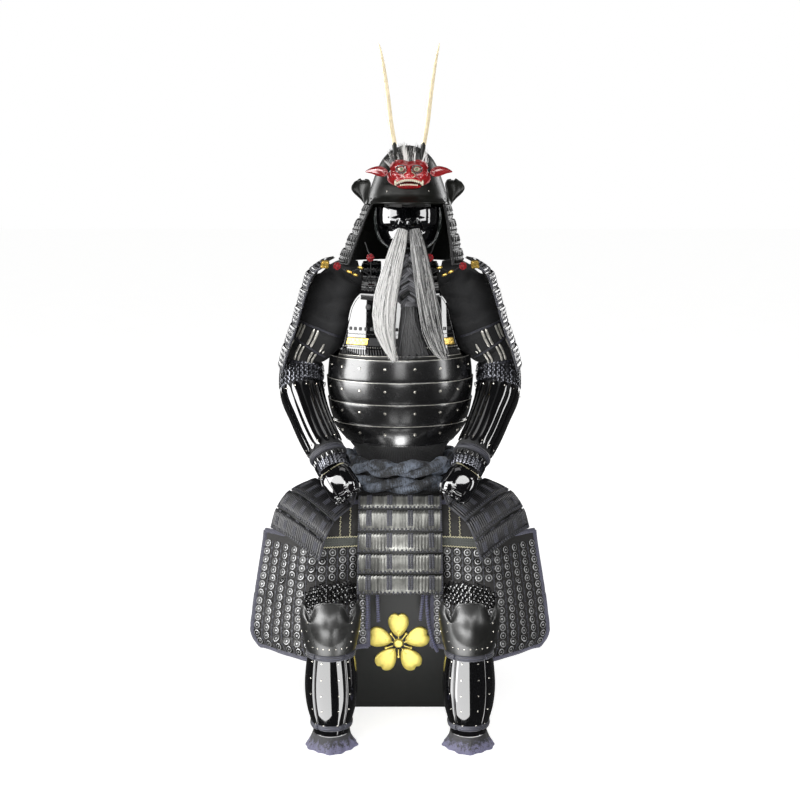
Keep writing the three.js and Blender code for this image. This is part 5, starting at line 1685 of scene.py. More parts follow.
class ARMOUR_OT_shoulder_guards(bpy.types.Operator):
    """Six laced lames over each shoulder"""

    bl_idname = "armour.shoulder_guards"
    bl_label = "Shoulder guards"

    def execute(self, context):
        shapes = [plate(guard, (-0.985, 0.985), (0.003, 0.99), rise=-0.0004, thick=0.002, columns=11,
                        rows=15, finish=2)]
        edges = np.linspace(0, 1, 7)
        for top, bottom in neighbours(edges):
            shapes.append(lame(guard, (-1, 1), (top + 0.004, bottom - 0.006), 30, rise=(0.0035, 0.0005),
                               ridge=0.0014))
            # Four rows of knots, every other one moved by half a knot.
            for share, shift in ((0.2, 0.0), (0.42, 0.5), (0.64, 0.0), (0.86, 0.5)):
                spots = (np.arange(26) + 0.5 + shift) / 13.25 - 1
                shapes.append(studs(guard, spots, mix(top, bottom, share), 0.0036, 0.0042, 0.0024, KNOT, 1,
                                    mix(0.0038, 0.0018, share)))
            shapes += side_cords(guard, (-0.99, 0.99), (top + 0.01, bottom - 0.01), 0.003, 0.001, 14, 1)
        make_pair("shoulder_lames", shapes, ["scale_lacquer", "lacing_braid", "charcoal_lacquer"],
                  "black_lacquer", ["shoulder_guard"])
        self.fittings()
        return {"FINISHED"}

    def fittings(self):
        """The crimson pompoms, gilt toggles and gilt corner plates, on the cords that hold the guards up."""
        routes = (
            [(73, -124, 1120), (103, -137, 1138), (128, -136, 1130), (158, -132, 1148), (190, -146, 1150)],
            [(88, -112, 1204), (80, -142, 1184), (74, -152, 1170), (73, -128, 1122)],
        )
        shapes = []
        for route in routes:
            path = along(spaced(mm(route)), np.linspace(0, 1, 30))
            shapes.append(cords(path[None], 0.0014, 0.0014, FORWARD, 8))
        # The pompoms' threads leave their middle evenly all round, each turned by the golden angle from the
        # last.
        k = np.arange(150)
        height = 1 - 2 * (k + 0.5) / len(k)
        ring = np.sqrt(1 - height**2)
        turn = 2.39996 * k
        ways = stack(ring * np.cos(turn), ring * np.sin(turn), height)
        for middle in mm([(158, -136, 1146), (74, -156, 1168)]):
            reach = 0.0095 * (0.85 + 0.3 * scatter(k, 5))[:, None, None]
            tufts = middle + ways[:, None] * np.linspace(0.1, 1, 4)[None, :, None] * reach
            shapes.append(cords(tufts, np.array([0.0006, 0.0014, 0.0015, 0.0009]), 0.0012, (0.1, 0.2, 1),
                                5, finish=1, shades=scatter(k, 6)))
        toggles = mm([(99, -141, 1142), (128, -140, 1132), (112, -139, 1124)])
        shapes.append(stamp(KNOT, toggles, (0.008, 0, 0.003), (-0.002, 0, 0.004), FORWARD * 0.005, 2))
        plate_way = unit(np.array([0.25, -0.8, 0.5]))
        right = unit(np.cross(plate_way, [0, 0, 1.0]) * -1)
        rise = np.cross(plate_way, right)
        at = mm([(188, -150, 1151)])
        shapes.append(stamp(TILE, at, right * 0.011, rise * 0.011, plate_way * 0.003, 2))
        corners = np.array([right * s * 0.006 + rise * t * 0.0055 for s in (-1, 1) for t in (-1, 1)])
        bosses = at + plate_way * 0.0016 + corners
        shapes.append(stamp(RIVET, bosses, right * 0.004, rise * 0.004, plate_way * 0.003, 2))
        make_pair("shoulder_fittings", shapes, ["black_braid", "crimson_silk", "gilt_copper"], "gilt_metal")


# ---------------------------------------------------------------- sleeves

SLEEVE = [(106, -16, 1128, 24, 50), (148, -17, 1118, 38, 60), (182, -20, 1072, 54, 67),
          (200, -23, 1010, 59, 69), (222, -26, 954, 57, 64), (252, -28, 902, 51, 57),
          (258, -38, 850, 54, 54), (253, -60, 806, 54, 52), (235, -92, 762, 49, 47),
          (213, -128, 718, 47, 44), (190, -162, 681, 45, 41), (174, -188, 653, 41, 38),
          (166, -204, 636, 38, 35)]
SLEEVE_TUBE = path_surface(SLEEVE, (1, 0, 0))


def arm(angle, down):
    """A sleeve: a tube through SLEEVE. Angle 0 is outside and grows towards the back, so the front is at -90
    degrees; down goes from 0 to 1."""
    return SLEEVE_TUBE(-np.asarray(angle, float), down)


# Soft creases of a sleeve: angle round it, share down, how far it slants, its length round, width and depth
# (mm).
UPPER_CREASES = [(1.5, 0.08, 0.5, 1.3, 0.016, 4.5), (1.0, 0.13, -0.3, 1.0, 0.013, 4.0),
                 (2.1, 0.17, 0.4, 1.1, 0.012, 4.0), (1.3, 0.245, 0.25, 1.4, 0.012, 3.5),
                 (0.4, 0.20, -0.5, 0.9, 0.014, 3.5), (2.4, 0.30, -0.35, 0.9, 0.013, 4.5),
                 (1.5, 0.395, 0.3, 1.2, 0.012, 4.5), (2.2, 0.43, -0.4, 1.0, 0.012, 4.5),
                 (3.4, 0.15, 0.4, 1.2, 0.015, 4.0), (4.2, 0.26, -0.4, 1.3, 0.015, 4.5),
                 (5.2, 0.35, 0.3, 1.2, 0.014, 4.0), (3.8, 0.41, 0.3, 1.2, 0.013, 5.0),
                 (5.0, 0.12, -0.3, 1.0, 0.016, 4.0), (2.9, 0.22, 0.6, 0.8, 0.012, 4.0)]
LOWER_CREASES = [(2.6, 0.53, 0.4, 1.0, 0.012, 4.5), (3.3, 0.57, -0.3, 1.1, 0.012, 5.0),
                 (3.9, 0.62, 0.3, 1.3, 0.013, 4.0), (4.8, 0.56, -0.4, 1.2, 0.013, 4.5),
                 (3.0, 0.68, 0.5, 0.8, 0.014, 3.5), (4.4, 0.72, -0.4, 1.1, 0.014, 3.5),
                 (5.3, 0.66, 0.4, 0.9, 0.013, 3.0), (3.6, 0.80, 0.3, 1.0, 0.013, 3.5),
                 (4.9, 0.83, -0.3, 1.0, 0.012, 3.0), (2.7, 0.86, 0.2, 0.8, 0.011, 3.0),
                 (4.1, 0.92, 0.3, 1.1, 0.012, 3.0)]


def creased(surface, creases):
    """A surface with soft creases pressed in beside low ridges. Each crease is a bell across its own
    slanting line that fades out at both ends, less 0.6 of a second bell beside it."""
    table = np.array(creases, float)

    def folded(angle, down):
        here, _, _, out = frames(surface, angle, down)
        angle, down = together(angle, down)
        # The head of the sleeve swells by up to 24 mm on its inner side, towards the shoulder.
        total = 0.024 * np.exp(-((np.cos(angle) + 1) / 0.5) ** 2) * (1 - ease(down, 0.26, 0.42))
        for turn, place, slant, reach, width, depth in table:
            off = np.mod(angle + turn + np.pi, 2 * np.pi) - np.pi
            line = down - place - slant * 0.06 * off - 0.01 * np.sin(2.3 * off + place * 40)
            fade = np.exp(-((off / reach) ** 4))
            total += 1.5 * depth * MM * fade * (0.6 * bump(line, width * 1.5, width) - bump(line, 0, width))
        return here + out * total[..., None]

    return folded


def strip_bars(surface, middles, half, start, end, crown, lift, rows=9):
    """Long splints side by side, each arched across its width, with rounded ends."""
    shapes = []
    s = np.linspace(-1, 1, 7)[None]
    t = np.linspace(-1, 1, rows)
    t = (np.sign(t) * (1 - (1 - np.abs(t)) ** 1.5))[:, None]
    d = mix(start, end, (t + 1) / 2) + 0 * s
    height = lift + crown * (1 - s**2) * (1 - np.abs(t) ** 10)
    narrow = np.sqrt(np.clip(1 - np.abs(t) ** 16, 0.05, 1))
    for k, middle in enumerate(middles):
        outer, out = on_surface(surface, middle + half * s * narrow, d, height)
        shapes.append(wall(outer, outer - out * 0.0018, shade=0.3 + 0.5 * float(scatter(k, middle))))
    return joined(shapes)


class ARMOUR_OT_sleeves(bpy.types.Operator):
    """Cloth sleeves with their splints, mail and ties, and the domed guards over the backs of the hands"""

    bl_idname = "armour.sleeves"
    bl_label = "Armoured sleeves"

    def execute(self, context):
        turn = evenly_round(64)[None]
        upper, lower = creased(arm, UPPER_CREASES), creased(arm, LOWER_CREASES)
        for name, surface, down, node in (("upper_sleeve", upper, (0, 0.4995), "sleeve"),
                                          ("lower_sleeve", lower, (0.502, 1), "forearm")):
            d = np.linspace(*down, 52)[:, None]
            points = surface(turn, d)
            inside = points - normals(points, True) * sizes().cloth
            run = line_length(arm(0.0, d[:, 0]))
            girth = line_length(points[:, [*range(64), 0]], 1)
            cloth = wall(points, inside, True, size=(girth, run))
            for piece in make_pair(name, [cloth], ["sleeve_cloth"], "black_cloth", [node]):
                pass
        self.splints(upper, lower)
        self.hands()
        return {"FINISHED"}

    def splints(self, upper, lower):
        """Small steel splints and bands on the upper sleeve; long lacquered ones, a cuff and mail on the
        lower."""
        armour = []
        for start, end, turns in ((0.300, 0.362, [-0.3, -0.95, -1.6, -2.25]),
                                  (0.372, 0.436, [-0.05, -0.7, -1.35, -2.0])):
            for turn_at in turns:
                pair_at = [turn_at - 0.09, turn_at + 0.09]
                armour.append(strip_bars(arm, pair_at, 0.052, start, end, 0.0012, 0.0052))
        for start, end in ((0.292, 0.300), (0.364, 0.371), (0.438, 0.446)):
            armour.append(plate(upper, (-2.6, 0.3), (start, end), rise=0.002, columns=40, rows=5, finish=2,
                                size=(0.2, 0.01)))
        armour.append(mail(upper, (-3.0, 0.6), (0.446, 0.497), 0.2, 0.0116, sizes().link, 0.0022, 1))
        make_pair("upper_arm_splints", armour, ["steel_and_painted_highlight", "mail_iron", "lacing_braid"], "black_lacquer")
        armour = [mail(lower, (-3.4, 0.6), (0.506, 0.548), 0.2, 0.0116, sizes().link, 0.0022, 1)]
        spots = np.linspace(-2.75, 0.55, 8)
        armour.append(strip_bars(arm, spots, 0.2, 0.552, 0.838, 0.0015, 0.0038, 15))
        for place in (0.572, 0.82):
            armour.append(studs(lower, spots, place, 0.0022, 0.0022, 0.0016, lift=0.0066, finish=3))
        armour.append(plate(lower, (0, 2 * np.pi - 0.001), (0.85, 0.882), rise=0.004, crown=0.0025,
                            columns=60, rows=7, thick=0.004, finish=2, size=(0.26, 0.02)))
        armour.append(strip_bars(lower, np.linspace(-2.6, 0.3, 9), 0.13, 0.888, 0.922, 0.003, 0.0018))
        armour.append(mail(lower, (-3.4, 0.6), (0.928, 0.99), 0.24, 0.0116, sizes().link, 0.002, 1))
        make_pair("forearm_splints", armour, ["polished_lacquer", "mail_iron", "lacing_braid",
                                              "rivet_nickel"], "black_lacquer")

    def hands(self):
        """The hand domes with three raised bars, corded edges, a row of stitches and small knobs."""
        shapes = [plate(hand, (-1, 1), (0, 1), columns=41, rows=27, ease_edge=0.0008)]
        for start, end in ((-0.52, -0.2), (-0.16, 0.16), (0.2, 0.52)):
            shapes.append(plate(hand, (start, end), (0.14, 0.84), rise=0.0016, crown=0.0012, columns=11,
                                thick=0.0015))
        shapes += side_cords(hand, (-0.99, 0.99), (0.01, 0.99), 0.0024, 0.0002, 40)
        shapes.append(edge_cord(hand, (-0.98, 0.98), (0.985, 0.985), 0.0024, 0.0002, 50))
        shapes.append(stitches(hand, np.linspace(-0.95, 0.95, 34), 0.05, 0.0035, 0.0014, 0.9, 0.001, 1))
        shapes.append(studs(hand, np.linspace(-0.9, 0.9, 16), 0.93, 0.0022, 0.0034, 0.002, RIVET, 0, 0.0004))
        make_pair("hand_domes", shapes, ["polished_lacquer", "cream_thread"], "black_lacquer", ["hand_guard"])


HAND_ROWS = [(0.0, -42, 31, 24), (0.16, -28, 38, 32), (0.48, 0, 41, 36), (0.82, 30, 39, 33),
             (1.0, 46, 30, 24)]
HAND_MIDDLE = np.array([0.152, -0.250, 0.614])
HAND_ALONG = unit(np.array([-0.53, -0.36, -0.77]))
HAND_OUT = np.array([0.2, -0.93, 0.3])
HAND_OUT = unit(HAND_OUT - HAND_ALONG * (HAND_OUT @ HAND_ALONG))
HAND_ACROSS = np.cross(HAND_ALONG, HAND_OUT)


def hand(across, down):
    """The dome over the back of the hand: across from -1 to 1, down from 0 at the wrist to 1 at the
    knuckles. Its section is an arch, squarer than an ellipse, whose half width and height run along
    HAND_ROWS."""
    across, down = together(across, down)
    on, half, crown = (v * MM for v in columns_of(along(HAND_ROWS, down)))
    angle = across * np.pi / 2
    wide = half * np.sign(angle) * np.abs(np.sin(angle)) ** 0.7
    high = crown * np.clip(np.cos(angle), 0, 1) ** 0.7 - 0.014
    steps = HAND_ALONG * on[..., None] + HAND_ACROSS * -wide[..., None] + HAND_OUT * high[..., None]
    return HAND_MIDDLE + steps


# ---------------------------------------------------------------- waist

WAIST = [(0.0, 688, 138, 128), (0.28, 656, 116, 118), (0.65, 612, 112, 116), (1.0, 572, 114, 118)]
BELT = {"wide": 0.138, "deep": 0.140, "offset": 0.0098, "turns": 5}


def waist(angle, down):
    """The waist under the cuirass at an angle: an ellipse, down from 0 to 1 along WAIST."""
    z, wide, deep = (v * MM for v in columns_of(along(WAIST, down)))
    return round_point(0, TRUNK_Y, z, wide, deep, angle)


class ARMOUR_OT_waist(bpy.types.Operator):
    """The hanging laces under the cuirass and the two rounds of twisted belt"""

    bl_idname = "armour.waist"
    bl_label = "Waist and belt"

    def execute(self, context):
        turn = evenly_round(240)
        down = np.linspace(0, 1, 8)
        pleat = 0.0011 * np.sin(turn * 60)
        points, out = on_surface(waist, turn[None], down[:, None], pleat[None] - 0.0022 + 0 * down[:, None])
        drop, girth = 0.121, 0.77
        cloth = wall(points, points - out * 0.002, True, size=(girth, drop))
        liner = make_piece("waist_liner", [cloth], ["sleeve_cloth"], "black_cloth", ["waist_laces"])
        spots = evenly_round(170)
        hung = laces(waist, spots, 0.012, 0.96, 0.0036, 0.0026, -0.0002, points=6)
        head = edge_cord(waist, (0, 2 * np.pi), (0.012, 0.012), 0.0028, -0.0004, 160)
        yoke = lambda angle, share: round_point(0, TRUNK_Y, mix(0.574, 0.5675, share),
                                                mix(0.112, 0.158, share), mix(0.116, 0.157, share), angle)
        ring = plate(yoke, (0, 2 * np.pi), (0, 1), thick=0.0016, columns=97, rows=4)
        strung = laces(yoke, spots, 0.02, 0.98, 0.0036, 0.0022, 0.0004, points=3)
        hanging = make_piece("waist_lacing", [hung, head, ring, strung], ["black_braid"], "navy_cord")

        t = evenly_round(170)
        # Each round is two plies that circle one another five times on their way round the waist.
        for name, z, start in (("upper", 0.630, 0.35), ("lower", 0.5860, 1.6)):
            twist = t * BELT["turns"] + start
            plies = []
            for ply in (0, np.pi):
                swell = BELT["offset"] * (1 + 0.05 * np.sin(7 * t + ply))
                outwards = swell * np.cos(twist + ply)
                plies.append(round_point(0, TRUNK_Y, z + swell * np.sin(twist + ply), BELT["wide"] + outwards,
                                         BELT["deep"] + outwards, t))
            radius = sizes().ply * (1 + 0.06 * np.sin(11 * t) + 0.05 * np.sin(23 * t + 1))
            shape = cords(np.array(plies), radius, radius * 0.97, (0, 0, 1), 14, loop=True,
                          shades=np.stack([0.5 + 0.35 * np.sin(9 * t), 0.5 + 0.35 * np.cos(8 * t)]))
            belt = make_piece(f"belt_{name}_twist", [shape], ["belt_cotton"], "belt_cloth", [f"belt_{name}"])
            rumple(belt, 0.014, 0.007)
        return {"FINISHED"}


def rumple(piece, size, depth):
    """Small uneven rumples pressed into a soft piece by a cloud texture fixed to its own place."""
    cloud = bpy.data.textures.new(piece.name, "CLOUDS")
    cloud.noise_scale = size
    cloud.noise_depth = 2
    press = piece.modifiers.new("rumple", "DISPLACE")
    press.texture = cloud
    press.texture_coords = "LOCAL"
    press.mid_level = 0.5
    press.strength = depth


# ---------------------------------------------------------------- laced skirt

FRONT_LINE = [(102, -188, 566), (103, -214, 535), (104, -232, 482), (105, -242, 430), (106, -249, 377),
              (107, -255, 324)]
THIGH_INNER = [(113, -180, 571), (124, -212, 545), (166, -262, 516), (187, -290, 475), (201, -305, 426)]
SKIRT_SIDES = [("side", [(166, -86, 574), (222, -104, 505), (250, -112, 360)],
                [(160, 56, 574), (222, 74, 505), (250, 82, 360)], 8),
               ("back", [(130, 118, 574), (176, 216, 505), (204, 236, 360)], [(2, 128, 574), (3, 216, 505),
                                                                              (4, 236, 360)], 6),]
THIGH_OUTER = [(158, -118, 590), (215, -112, 590), (280, -150, 569), (313, -171, 529), (328, -190, 480)]


def laced_panel(surface, lames, scales, rise=0.0035, pairs=5, ridge=0.0013):
    """Lames hung from one another by paired laces, each with a row of knots under its head and a laced
    foot."""
    edges = np.linspace(0, 1, lames + 1)
    shapes = [plate(surface, (0.004, 0.996), (0.003, 0.992), rise=0.0002, thick=0.002, columns=11, rows=15,
                    finish=3)]
    for top, bottom in neighbours(edges):
        shapes.append(lame(surface, (0, 1), (top + 0.004, bottom - 0.006), scales,
                           rise=(rise + 0.001, 0.0012), ridge=ridge, crown=0.0012, notch=0.1))
        spots = (np.arange(pairs) + 0.5) / pairs
        for off in (-0.017, 0.017):
            shapes.append(laces(surface, spots + off, mix(top, bottom, 0.04), mix(top, bottom, 0.72),
                                sizes().lace, 0.0026, 0.0042, bow=0.0014, finish=1))
        teeth = scales * 4 // 5
        shapes.append(studs(surface, (np.arange(teeth) + 0.5) / teeth, mix(top, bottom, 0.88), 0.0034,
                            0.0052, 0.003, KNOT, 1, 0.0026))
        shapes.append(edge_cord(surface, (0.0, 1.0), (bottom - 0.012, bottom - 0.012), 0.0018, 0.002, 80, 2))
        shapes += side_cords(surface, (0.004, 0.996), (top + 0.01, bottom - 0.01), 0.0032, 0.0022, 20, 1)
    return shapes


class ARMOUR_OT_skirt(bpy.types.Operator):
    """The laced panels of the skirt: front, over the thighs, at the sides and behind"""

    bl_idname = "armour.skirt"
    bl_label = "Skirt"

    def execute(self, context):
        finishes = ["scale_lacquer", "lacing_braid", "black_braid", "charcoal_lacquer"]
        front = line_surface(FRONT_LINE, [(-x, y, z) for x, y, z in FRONT_LINE], 14)
        lames = laced_panel(lambda a, d: front(1 - np.asarray(a), d), 5, 26, pairs=4, ridge=0.0007)
        make_piece("skirt_front_lames", lames, ["pewter_lacquer", *finishes[1:]], "black_lacquer",
                   ["skirt_front"])
        thigh = line_surface(THIGH_INNER, THIGH_OUTER, 18)
        make_pair("skirt_thigh_lames", laced_panel(thigh, 4, 30, 0.005), ["rubbed_leather", *finishes[1:]],
                  "black_lacquer", ["skirt_thigh"])
        for name, first, second, bulge in SKIRT_SIDES:
            panel = laced_panel(line_surface(first, second, bulge), 5, 26)
            make_pair(f"skirt_{name}_lames", panel, finishes, "black_lacquer", [f"skirt_{name}"])
        return {"FINISHED"}


# ---------------------------------------------------------------- thigh guards

# The outer edge of a thigh guard, down from 0 to 1, and the heights of its head's ends, its foot and the
# box's lid.
APRON = [(0, 352), (0.08, 354), (0.16, 357), (0.4, 367), (0.68, 377), (0.92, 376), (1, 360)]
APRON_INSIDE, APRON_FOOT, LID_TOP = 80, 178, 500


def apron_head(across):
    """The height of a thigh guard's head in millimetres: it falls from its inner to its outer end."""
    return mix(552, 462, ease(np.asarray(across, float), 0.1, 0.85))


def apron(across, down):
    """A thigh guard: across from 0 at its inner edge to 1 outside, down from 0 to 1. It hangs over the
    box's front edge, swells forward over the thigh and turns back round its outside."""
    across, down = together(across, down)
    x = mix(APRON_INSIDE, along(APRON, down)[..., 0], across)
    z = mix(apron_head(across), APRON_FOOT, down)
    below = LID_TOP - z
    hang = np.where(below < 0, -0.6 * below, -0.05 * below)
    swell = mix(4, 96, ease(below, -30, 330)) * ease(across, 0.04, 0.44)
    turn = 108 * ease(across, 0.46, 1.1)
    return stack(x, -217 + hang - swell + turn, z) * MM


def apron_z(across, height):
    """The share down the thigh guard at a height in millimetres."""
    top = apron_head(across)
    return (top - height) / (top - APRON_FOOT)


def apron_x(x):
    """About the share across the thigh guard at a distance in millimetres from the middle plane."""
    return (x - APRON_INSIDE) / (366 - APRON_INSIDE)


APRON_CREASES = [(0.12, 0.30, 0.8, 0.25, 0.03, 2.5), (0.3, 0.5, -0.6, 0.3, 0.02, 2.0),
                 (0.62, 0.35, 0.5, 0.3, 0.02, 2.5), (0.85, 0.55, -0.4, 0.25, 0.02, 2.5),
                 (0.45, 0.8, 0.4, 0.35, 0.02, 2.0), (0.75, 0.85, -0.3, 0.3, 0.02, 2.5)]


def soft_apron(across, down):
    """The cloth of a thigh guard: the same surface with six soft creases, each a bell beside a lower ridge,
    and shallow rolls, a sine across, towards its foot."""
    here, _, _, out = frames(apron, across, down)
    across, down = together(across, down)
    roll = np.zeros(across.shape)
    for place, low, slant, reach, width, depth in APRON_CREASES:
        line = down - low - slant * (across - place) * 0.4
        roll += depth * MM * bump(across, place, reach) * (0.6 * bump(line, width * 1.5, width)
                                                           - bump(line, 0, width))
    roll += 0.0012 * np.sin(across * 21 + 3 * np.sin(down * 5)) * ease(down, 0.3, 1)
    return here + out * roll[..., None]


class ARMOUR_OT_thigh_guards(bpy.types.Operator):
    """Cloth thigh guards with zig-zag stitching, a grey band, rows of small ringed plates and a bound edge"""

    bl_idname = "armour.thigh_guards"
    bl_label = "Thigh guards"

    def execute(self, context):
        a, d = np.linspace(0, 1, 72)[None], np.linspace(0, 1, 60)[:, None]
        points = soft_apron(a, d)
        flat = (line_length(points, 1), line_length(points, 0))
        cloth = wall(points, points - normals(points) * sizes().cloth, size=flat)
        trim = self.trim()
        plates = self.plates()
        panels = make_pair("thigh_cloth", [cloth], ["apron_cloth"], "black_cloth", ["thigh_guard"])
        trims = make_pair("thigh_trim", trim, ["lavender_cloth", "cream_thread", "grey_cloth"], "black_cloth")
        rows = make_pair("thigh_plates", plates, ["silvered_iron", "charcoal_lacquer", "lacing_braid",
                                                  "polished_lacquer"], "black_lacquer")
        return {"FINISHED"}

    def trim(self):
        """The bound edges, the grey band, and cream stitches in zig-zags beside the band and above it."""
        shapes = []
        stitch = sizes().stitch
        for start, end in (((0.006, 0.006), (0.004, 0.996)), ((0.994, 0.994), (0.004, 0.996)),
                           ((0.004, 0.996), (0.006, 0.006)), ((0.004, 0.996), (0.994, 0.994))):
            shapes.append(edge_cord(soft_apron, start, end, 0.006, 0.0, 70, flat=0.45))
        band_a = np.linspace(0.012, 0.42, 30)
        top, bottom = apron_z(band_a, 465), apron_z(band_a, 445)
        t = np.linspace(0, 1, 7)[:, None]
        outer, out = on_surface(soft_apron, band_a[None] + 0 * t, mix(top[None], bottom[None], t),
                                0.0014 + 0 * (t + band_a))
        shapes.append(wall(outer, outer - out * 0.0016, finish=2, size=(0.12, 0.02)))
        for height in (467, 443):
            zig = np.linspace(0.02, 0.42, 34)
            shapes.append(stitches(soft_apron, zig, apron_z(zig, height), stitch, 0.0026, (0.7, -0.7),
                                   0.0012, 1))
        for x in (apron_x(128), apron_x(154)):
            place = apron_z(x, np.linspace(540, 470, 15))
            place = place[place > 0.015]
            shapes.append(stitches(soft_apron, x + 0 * place, place, stitch, 0.0026, (0.9, -0.9), 0.0012, 1))
        return shapes

    def plates(self):
        """A field of mail over the knee; upright rows of square scales, each with a ring and a rivet; and
        between the rows small tiles and a flat lace."""
        high = lambda a, d: soft_apron(a, d)[..., 2]
        # The black mail over the knee is partly real mail and partly painted shade: a dark field where the
        # knee plate's head shades the thigh guard.
        shapes = [mail(soft_apron, (0.11, 0.52), (0.35, 0.75), 0.034, 0.024, 0.0068, 0.004, 3,
                       lambda a, d: (high(a, d) < 0.355 - 0.3 * (a - 0.3) ** 2) & (high(a, d) > 0.3))]
        rows = np.arange(430, 190, -sizes().spacing / MM)
        for a in np.linspace(0.05, 0.95, 11):
            heights = rows[rows < float(apron_head(a)) - 20]
            # Over the knee the ringed plates stop, and the black mail, partly painted shade, shows there
            # instead.
            if 0.1 < a < 0.5:
                heights = heights[(heights > 358) | (heights < 300)]
            place = apron_z(a, heights)
            here = np.full(len(place), a)
            shapes.append(studs(soft_apron, here, place, 0.0112, 0.0088, 0.0016, TILE, 1, 0.0008))
            at, right, up, out = frames(soft_apron, here, place)
            size = 0.0078
            shapes.append(stamp(LINK, at + out * 0.0016, right * size, up * size, out * size * 0.7))
            shapes.append(studs(soft_apron, here, place, 0.0034, 0.0034, 0.0018, RIVET, 0, 0.0014))
            between = place[:-1] + np.diff(place) / 2
            shapes.append(studs(soft_apron, here[:-1] + 0.045, between, 0.003, 0.0036, 0.0014, TILE, 2,
                                0.0012))
            start = float(apron_z(a + 0.045, 438))
            shapes.append(laces(soft_apron, [a + 0.045], start, 0.985, 0.0022, 0.0012, 0.0008, points=16,
                                finish=2))
        return shapes


# ---------------------------------------------------------------- knees, shins and ankles

KNEE = mm([(378, 66, 48, -12), (352, 73, 62, -10), (318, 73, 70, -6), (284, 68, 68, -2), (246, 60, 60, 0)])
SHIN = mm([(245.5, 55, 56), (200, 61, 60), (150, 64, 62), (100, 59, 57), (58, 48, 49), (36, 44, 46)])
ANKLE = mm([(35.5, 45, 47), (18, 52, 56), (0, 64, 68)])


def knee(across, down):
    """The knee plate: across from -1 to 1 over 100 degrees each side of an ellipse, down from 0 to 1 along
    KNEE. A dome 14 mm high stands forward, and its head rises at the middle and at two wings, with bells
    cut out between."""
    z = 0.378 - 0.132 * down
    wide, deep, lean = columns_of(along(KNEE, z))
    angle = across * np.radians(100)
    point = round_point(LEG[0], LEG[1] + lean, z, wide, deep, angle)
    off = np.abs(point[..., 0] - LEG[0]) / MM
    dip = (26 * bump(off, 47, 10) + 9 * (np.minimum(off, 47) / 40) ** 2) * (1 - ease(down, 0, 0.45))
    dome = 14 * np.clip(1 - (off / 46) ** 2 - ((down - 0.38) / 0.44) ** 2, 0, 1) ** 1.3
    return point - stack(0, dome * MM, dip * MM)


def shin(across, down):
    """The shin guard: across from -1 to 1 over 140 degrees each side of an ellipse, down from 0 to 1 along
    SHIN. Two narrow bells to each side are grooves between its upright plates, and a wide one swells the
    plate between."""
    z = 0.2455 - 0.2095 * down
    wide, deep = columns_of(along(SHIN, z))
    angle = across * np.radians(140)
    off = np.abs(across)
    groove = 0.003 * (bump(off, 0.27, 0.014) + bump(off, 0.62, 0.014)) - 0.0015 * bump(off, 0.445, 0.12)
    return round_point(*LEG, z, wide - groove, deep - groove, angle)


def ankle(across, down):
    """A cloth hem: across from -1 to 1 over 140 degrees each side of an ellipse that flares along ANKLE,
    waved by two sines that grow downwards."""
    z = 0.0355 * (1 - down)
    wide, deep = columns_of(along(ANKLE, z))
    wave = (0.0034 * np.sin(across * 11 + 2 * down) + 0.002 * np.sin(across * 31 + 1) - 0.003) * down
    return round_point(*LEG, z, wide + wave, deep + wave, across * np.radians(140))


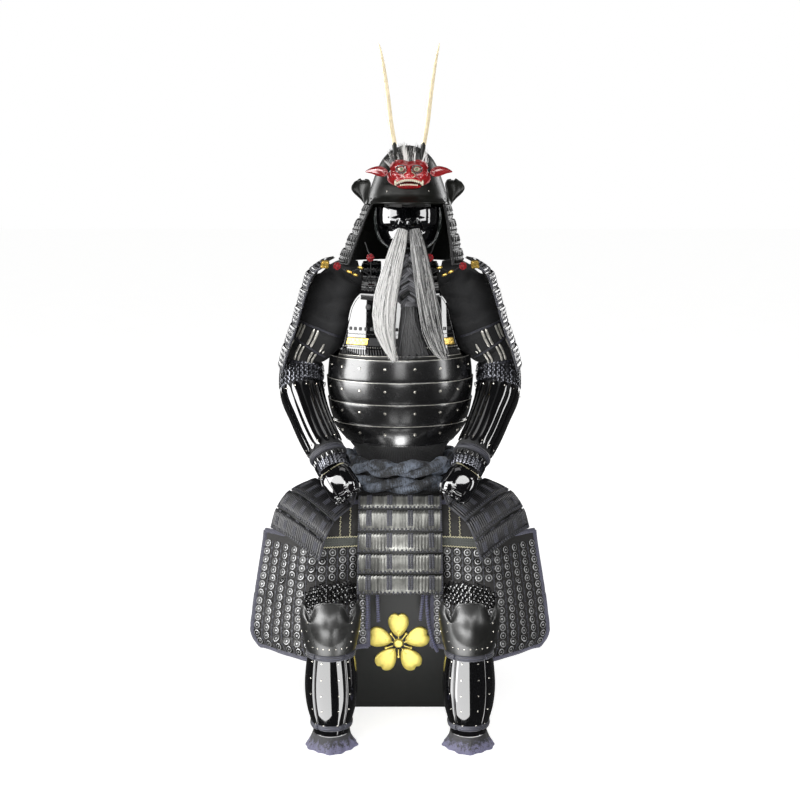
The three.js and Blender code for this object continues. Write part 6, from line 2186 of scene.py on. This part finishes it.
class ARMOUR_OT_legs(bpy.types.Operator):
    """Knee plates, shin guards with their rivets and ties, and the cloth hems at the ankles"""

    bl_idname = "armour.legs"
    bl_label = "Knees and shins"

    def execute(self, context):
        shapes = [plate(knee, (-1, 1), (0, 1), columns=101, rows=41, ease_edge=0.0008)]
        shapes.append(edge_cord(knee, (-0.99, 0.99), (0.006, 0.006), 0.0017, 0.0, 100))
        for side in (-1, 1):
            shapes.append(studs(knee, [0.46 * side, 0.5 * side, 0.5 * side, 0.82 * side, 0.84 * side],
                                [0.36, 0.56, 0.76, 0.42, 0.66], 0.0028, 0.0028, 0.0022, finish=1))
        shapes.append(studs(knee, np.linspace(-0.4, 0.4, 7), 0.86, 0.0022, 0.0022, 0.0018, finish=1))
        make_pair("knee_dome", shapes, ["knee_lacquer", "rivet_nickel"], "black_lacquer", ["knee_plate"])
        shapes = [plate(shin, (-1, 1), (0, 1), columns=161, rows=21)]
        shapes += side_cords(shin, (-0.995, 0.995), (0.01, 0.99), 0.0022, 0.0, 50)
        for a in (-0.34, -0.14, 0.14, 0.34, -0.62, 0.62):
            shapes.append(studs(shin, a, np.linspace(0.1, 0.86, 5), 0.0024, 0.0024, 0.002, finish=1))
        for place in ((0.0, 0.07), (0.86, 0.93)):
            shapes.append(plate(shin, (-0.99, 0.99), place, rise=0.002, crown=0.002, columns=61,
                                rows=7, finish=2, size=(0.3, 0.02), thick=0.0025))
        make_pair("shin_plates", shapes, ["polished_lacquer", "rivet_nickel", "lacing_braid"],
                  "black_lacquer", ["shin_guard"])
        a, d = np.linspace(-1, 1, 100)[None], np.linspace(0, 1, 14)[:, None]
        points = ankle(a, d)
        flat = (line_length(points, 1), 0.044)
        cloth = wall(points, points - normals(points) * sizes().cloth, size=flat, shade=d)
        for piece in make_pair("ankle_cloth", [cloth], ["hem_cloth"], "black_cloth", ["ankle_hem"]):
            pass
        return {"FINISHED"}


# ---------------------------------------------------------------- panel and order of work

STEPS = [ARMOUR_OT_stage, ARMOUR_OT_ties, ARMOUR_OT_box, ARMOUR_OT_stand, ARMOUR_OT_helmet, ARMOUR_OT_crest,
         ARMOUR_OT_mask, ARMOUR_OT_hair, ARMOUR_OT_cuirass, ARMOUR_OT_shoulder_guards, ARMOUR_OT_sleeves,
         ARMOUR_OT_waist, ARMOUR_OT_skirt, ARMOUR_OT_thigh_guards, ARMOUR_OT_legs]


class ARMOUR_PT_panel(bpy.types.Panel):
    """Lists the steps that build the armour"""

    bl_label = "Armour"
    bl_idname = "ARMOUR_PT_panel"
    bl_space_type = "VIEW_3D"
    bl_region_type = "UI"
    bl_category = "Armour"

    def draw(self, context):
        for step in STEPS:
            self.layout.operator(step.bl_idname)
        for group in (context.scene.armour_sizes, context.scene.armour_colours):
            for setting in group.__annotations__:
                self.layout.prop(group, setting)


CLASSES = [ArmourColours, ArmourSizes, *STEPS, ARMOUR_PT_panel]


def register():
    for kind in CLASSES:
        bpy.utils.register_class(kind)
    bpy.types.Scene.armour_colours = PointerProperty(type=ArmourColours)
    bpy.types.Scene.armour_sizes = PointerProperty(type=ArmourSizes)


def unregister():
    del bpy.types.Scene.armour_sizes, bpy.types.Scene.armour_colours
    for kind in reversed(CLASSES):
        bpy.utils.unregister_class(kind)


def main():
    register()
    for step in STEPS:
        group, name = step.bl_idname.split(".")
        getattr(getattr(bpy.ops, group), name)()
    boxes = [[list(corner) for corner in box] for box in (CAD_BOX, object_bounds())]


if __name__ == "__main__":
    main()
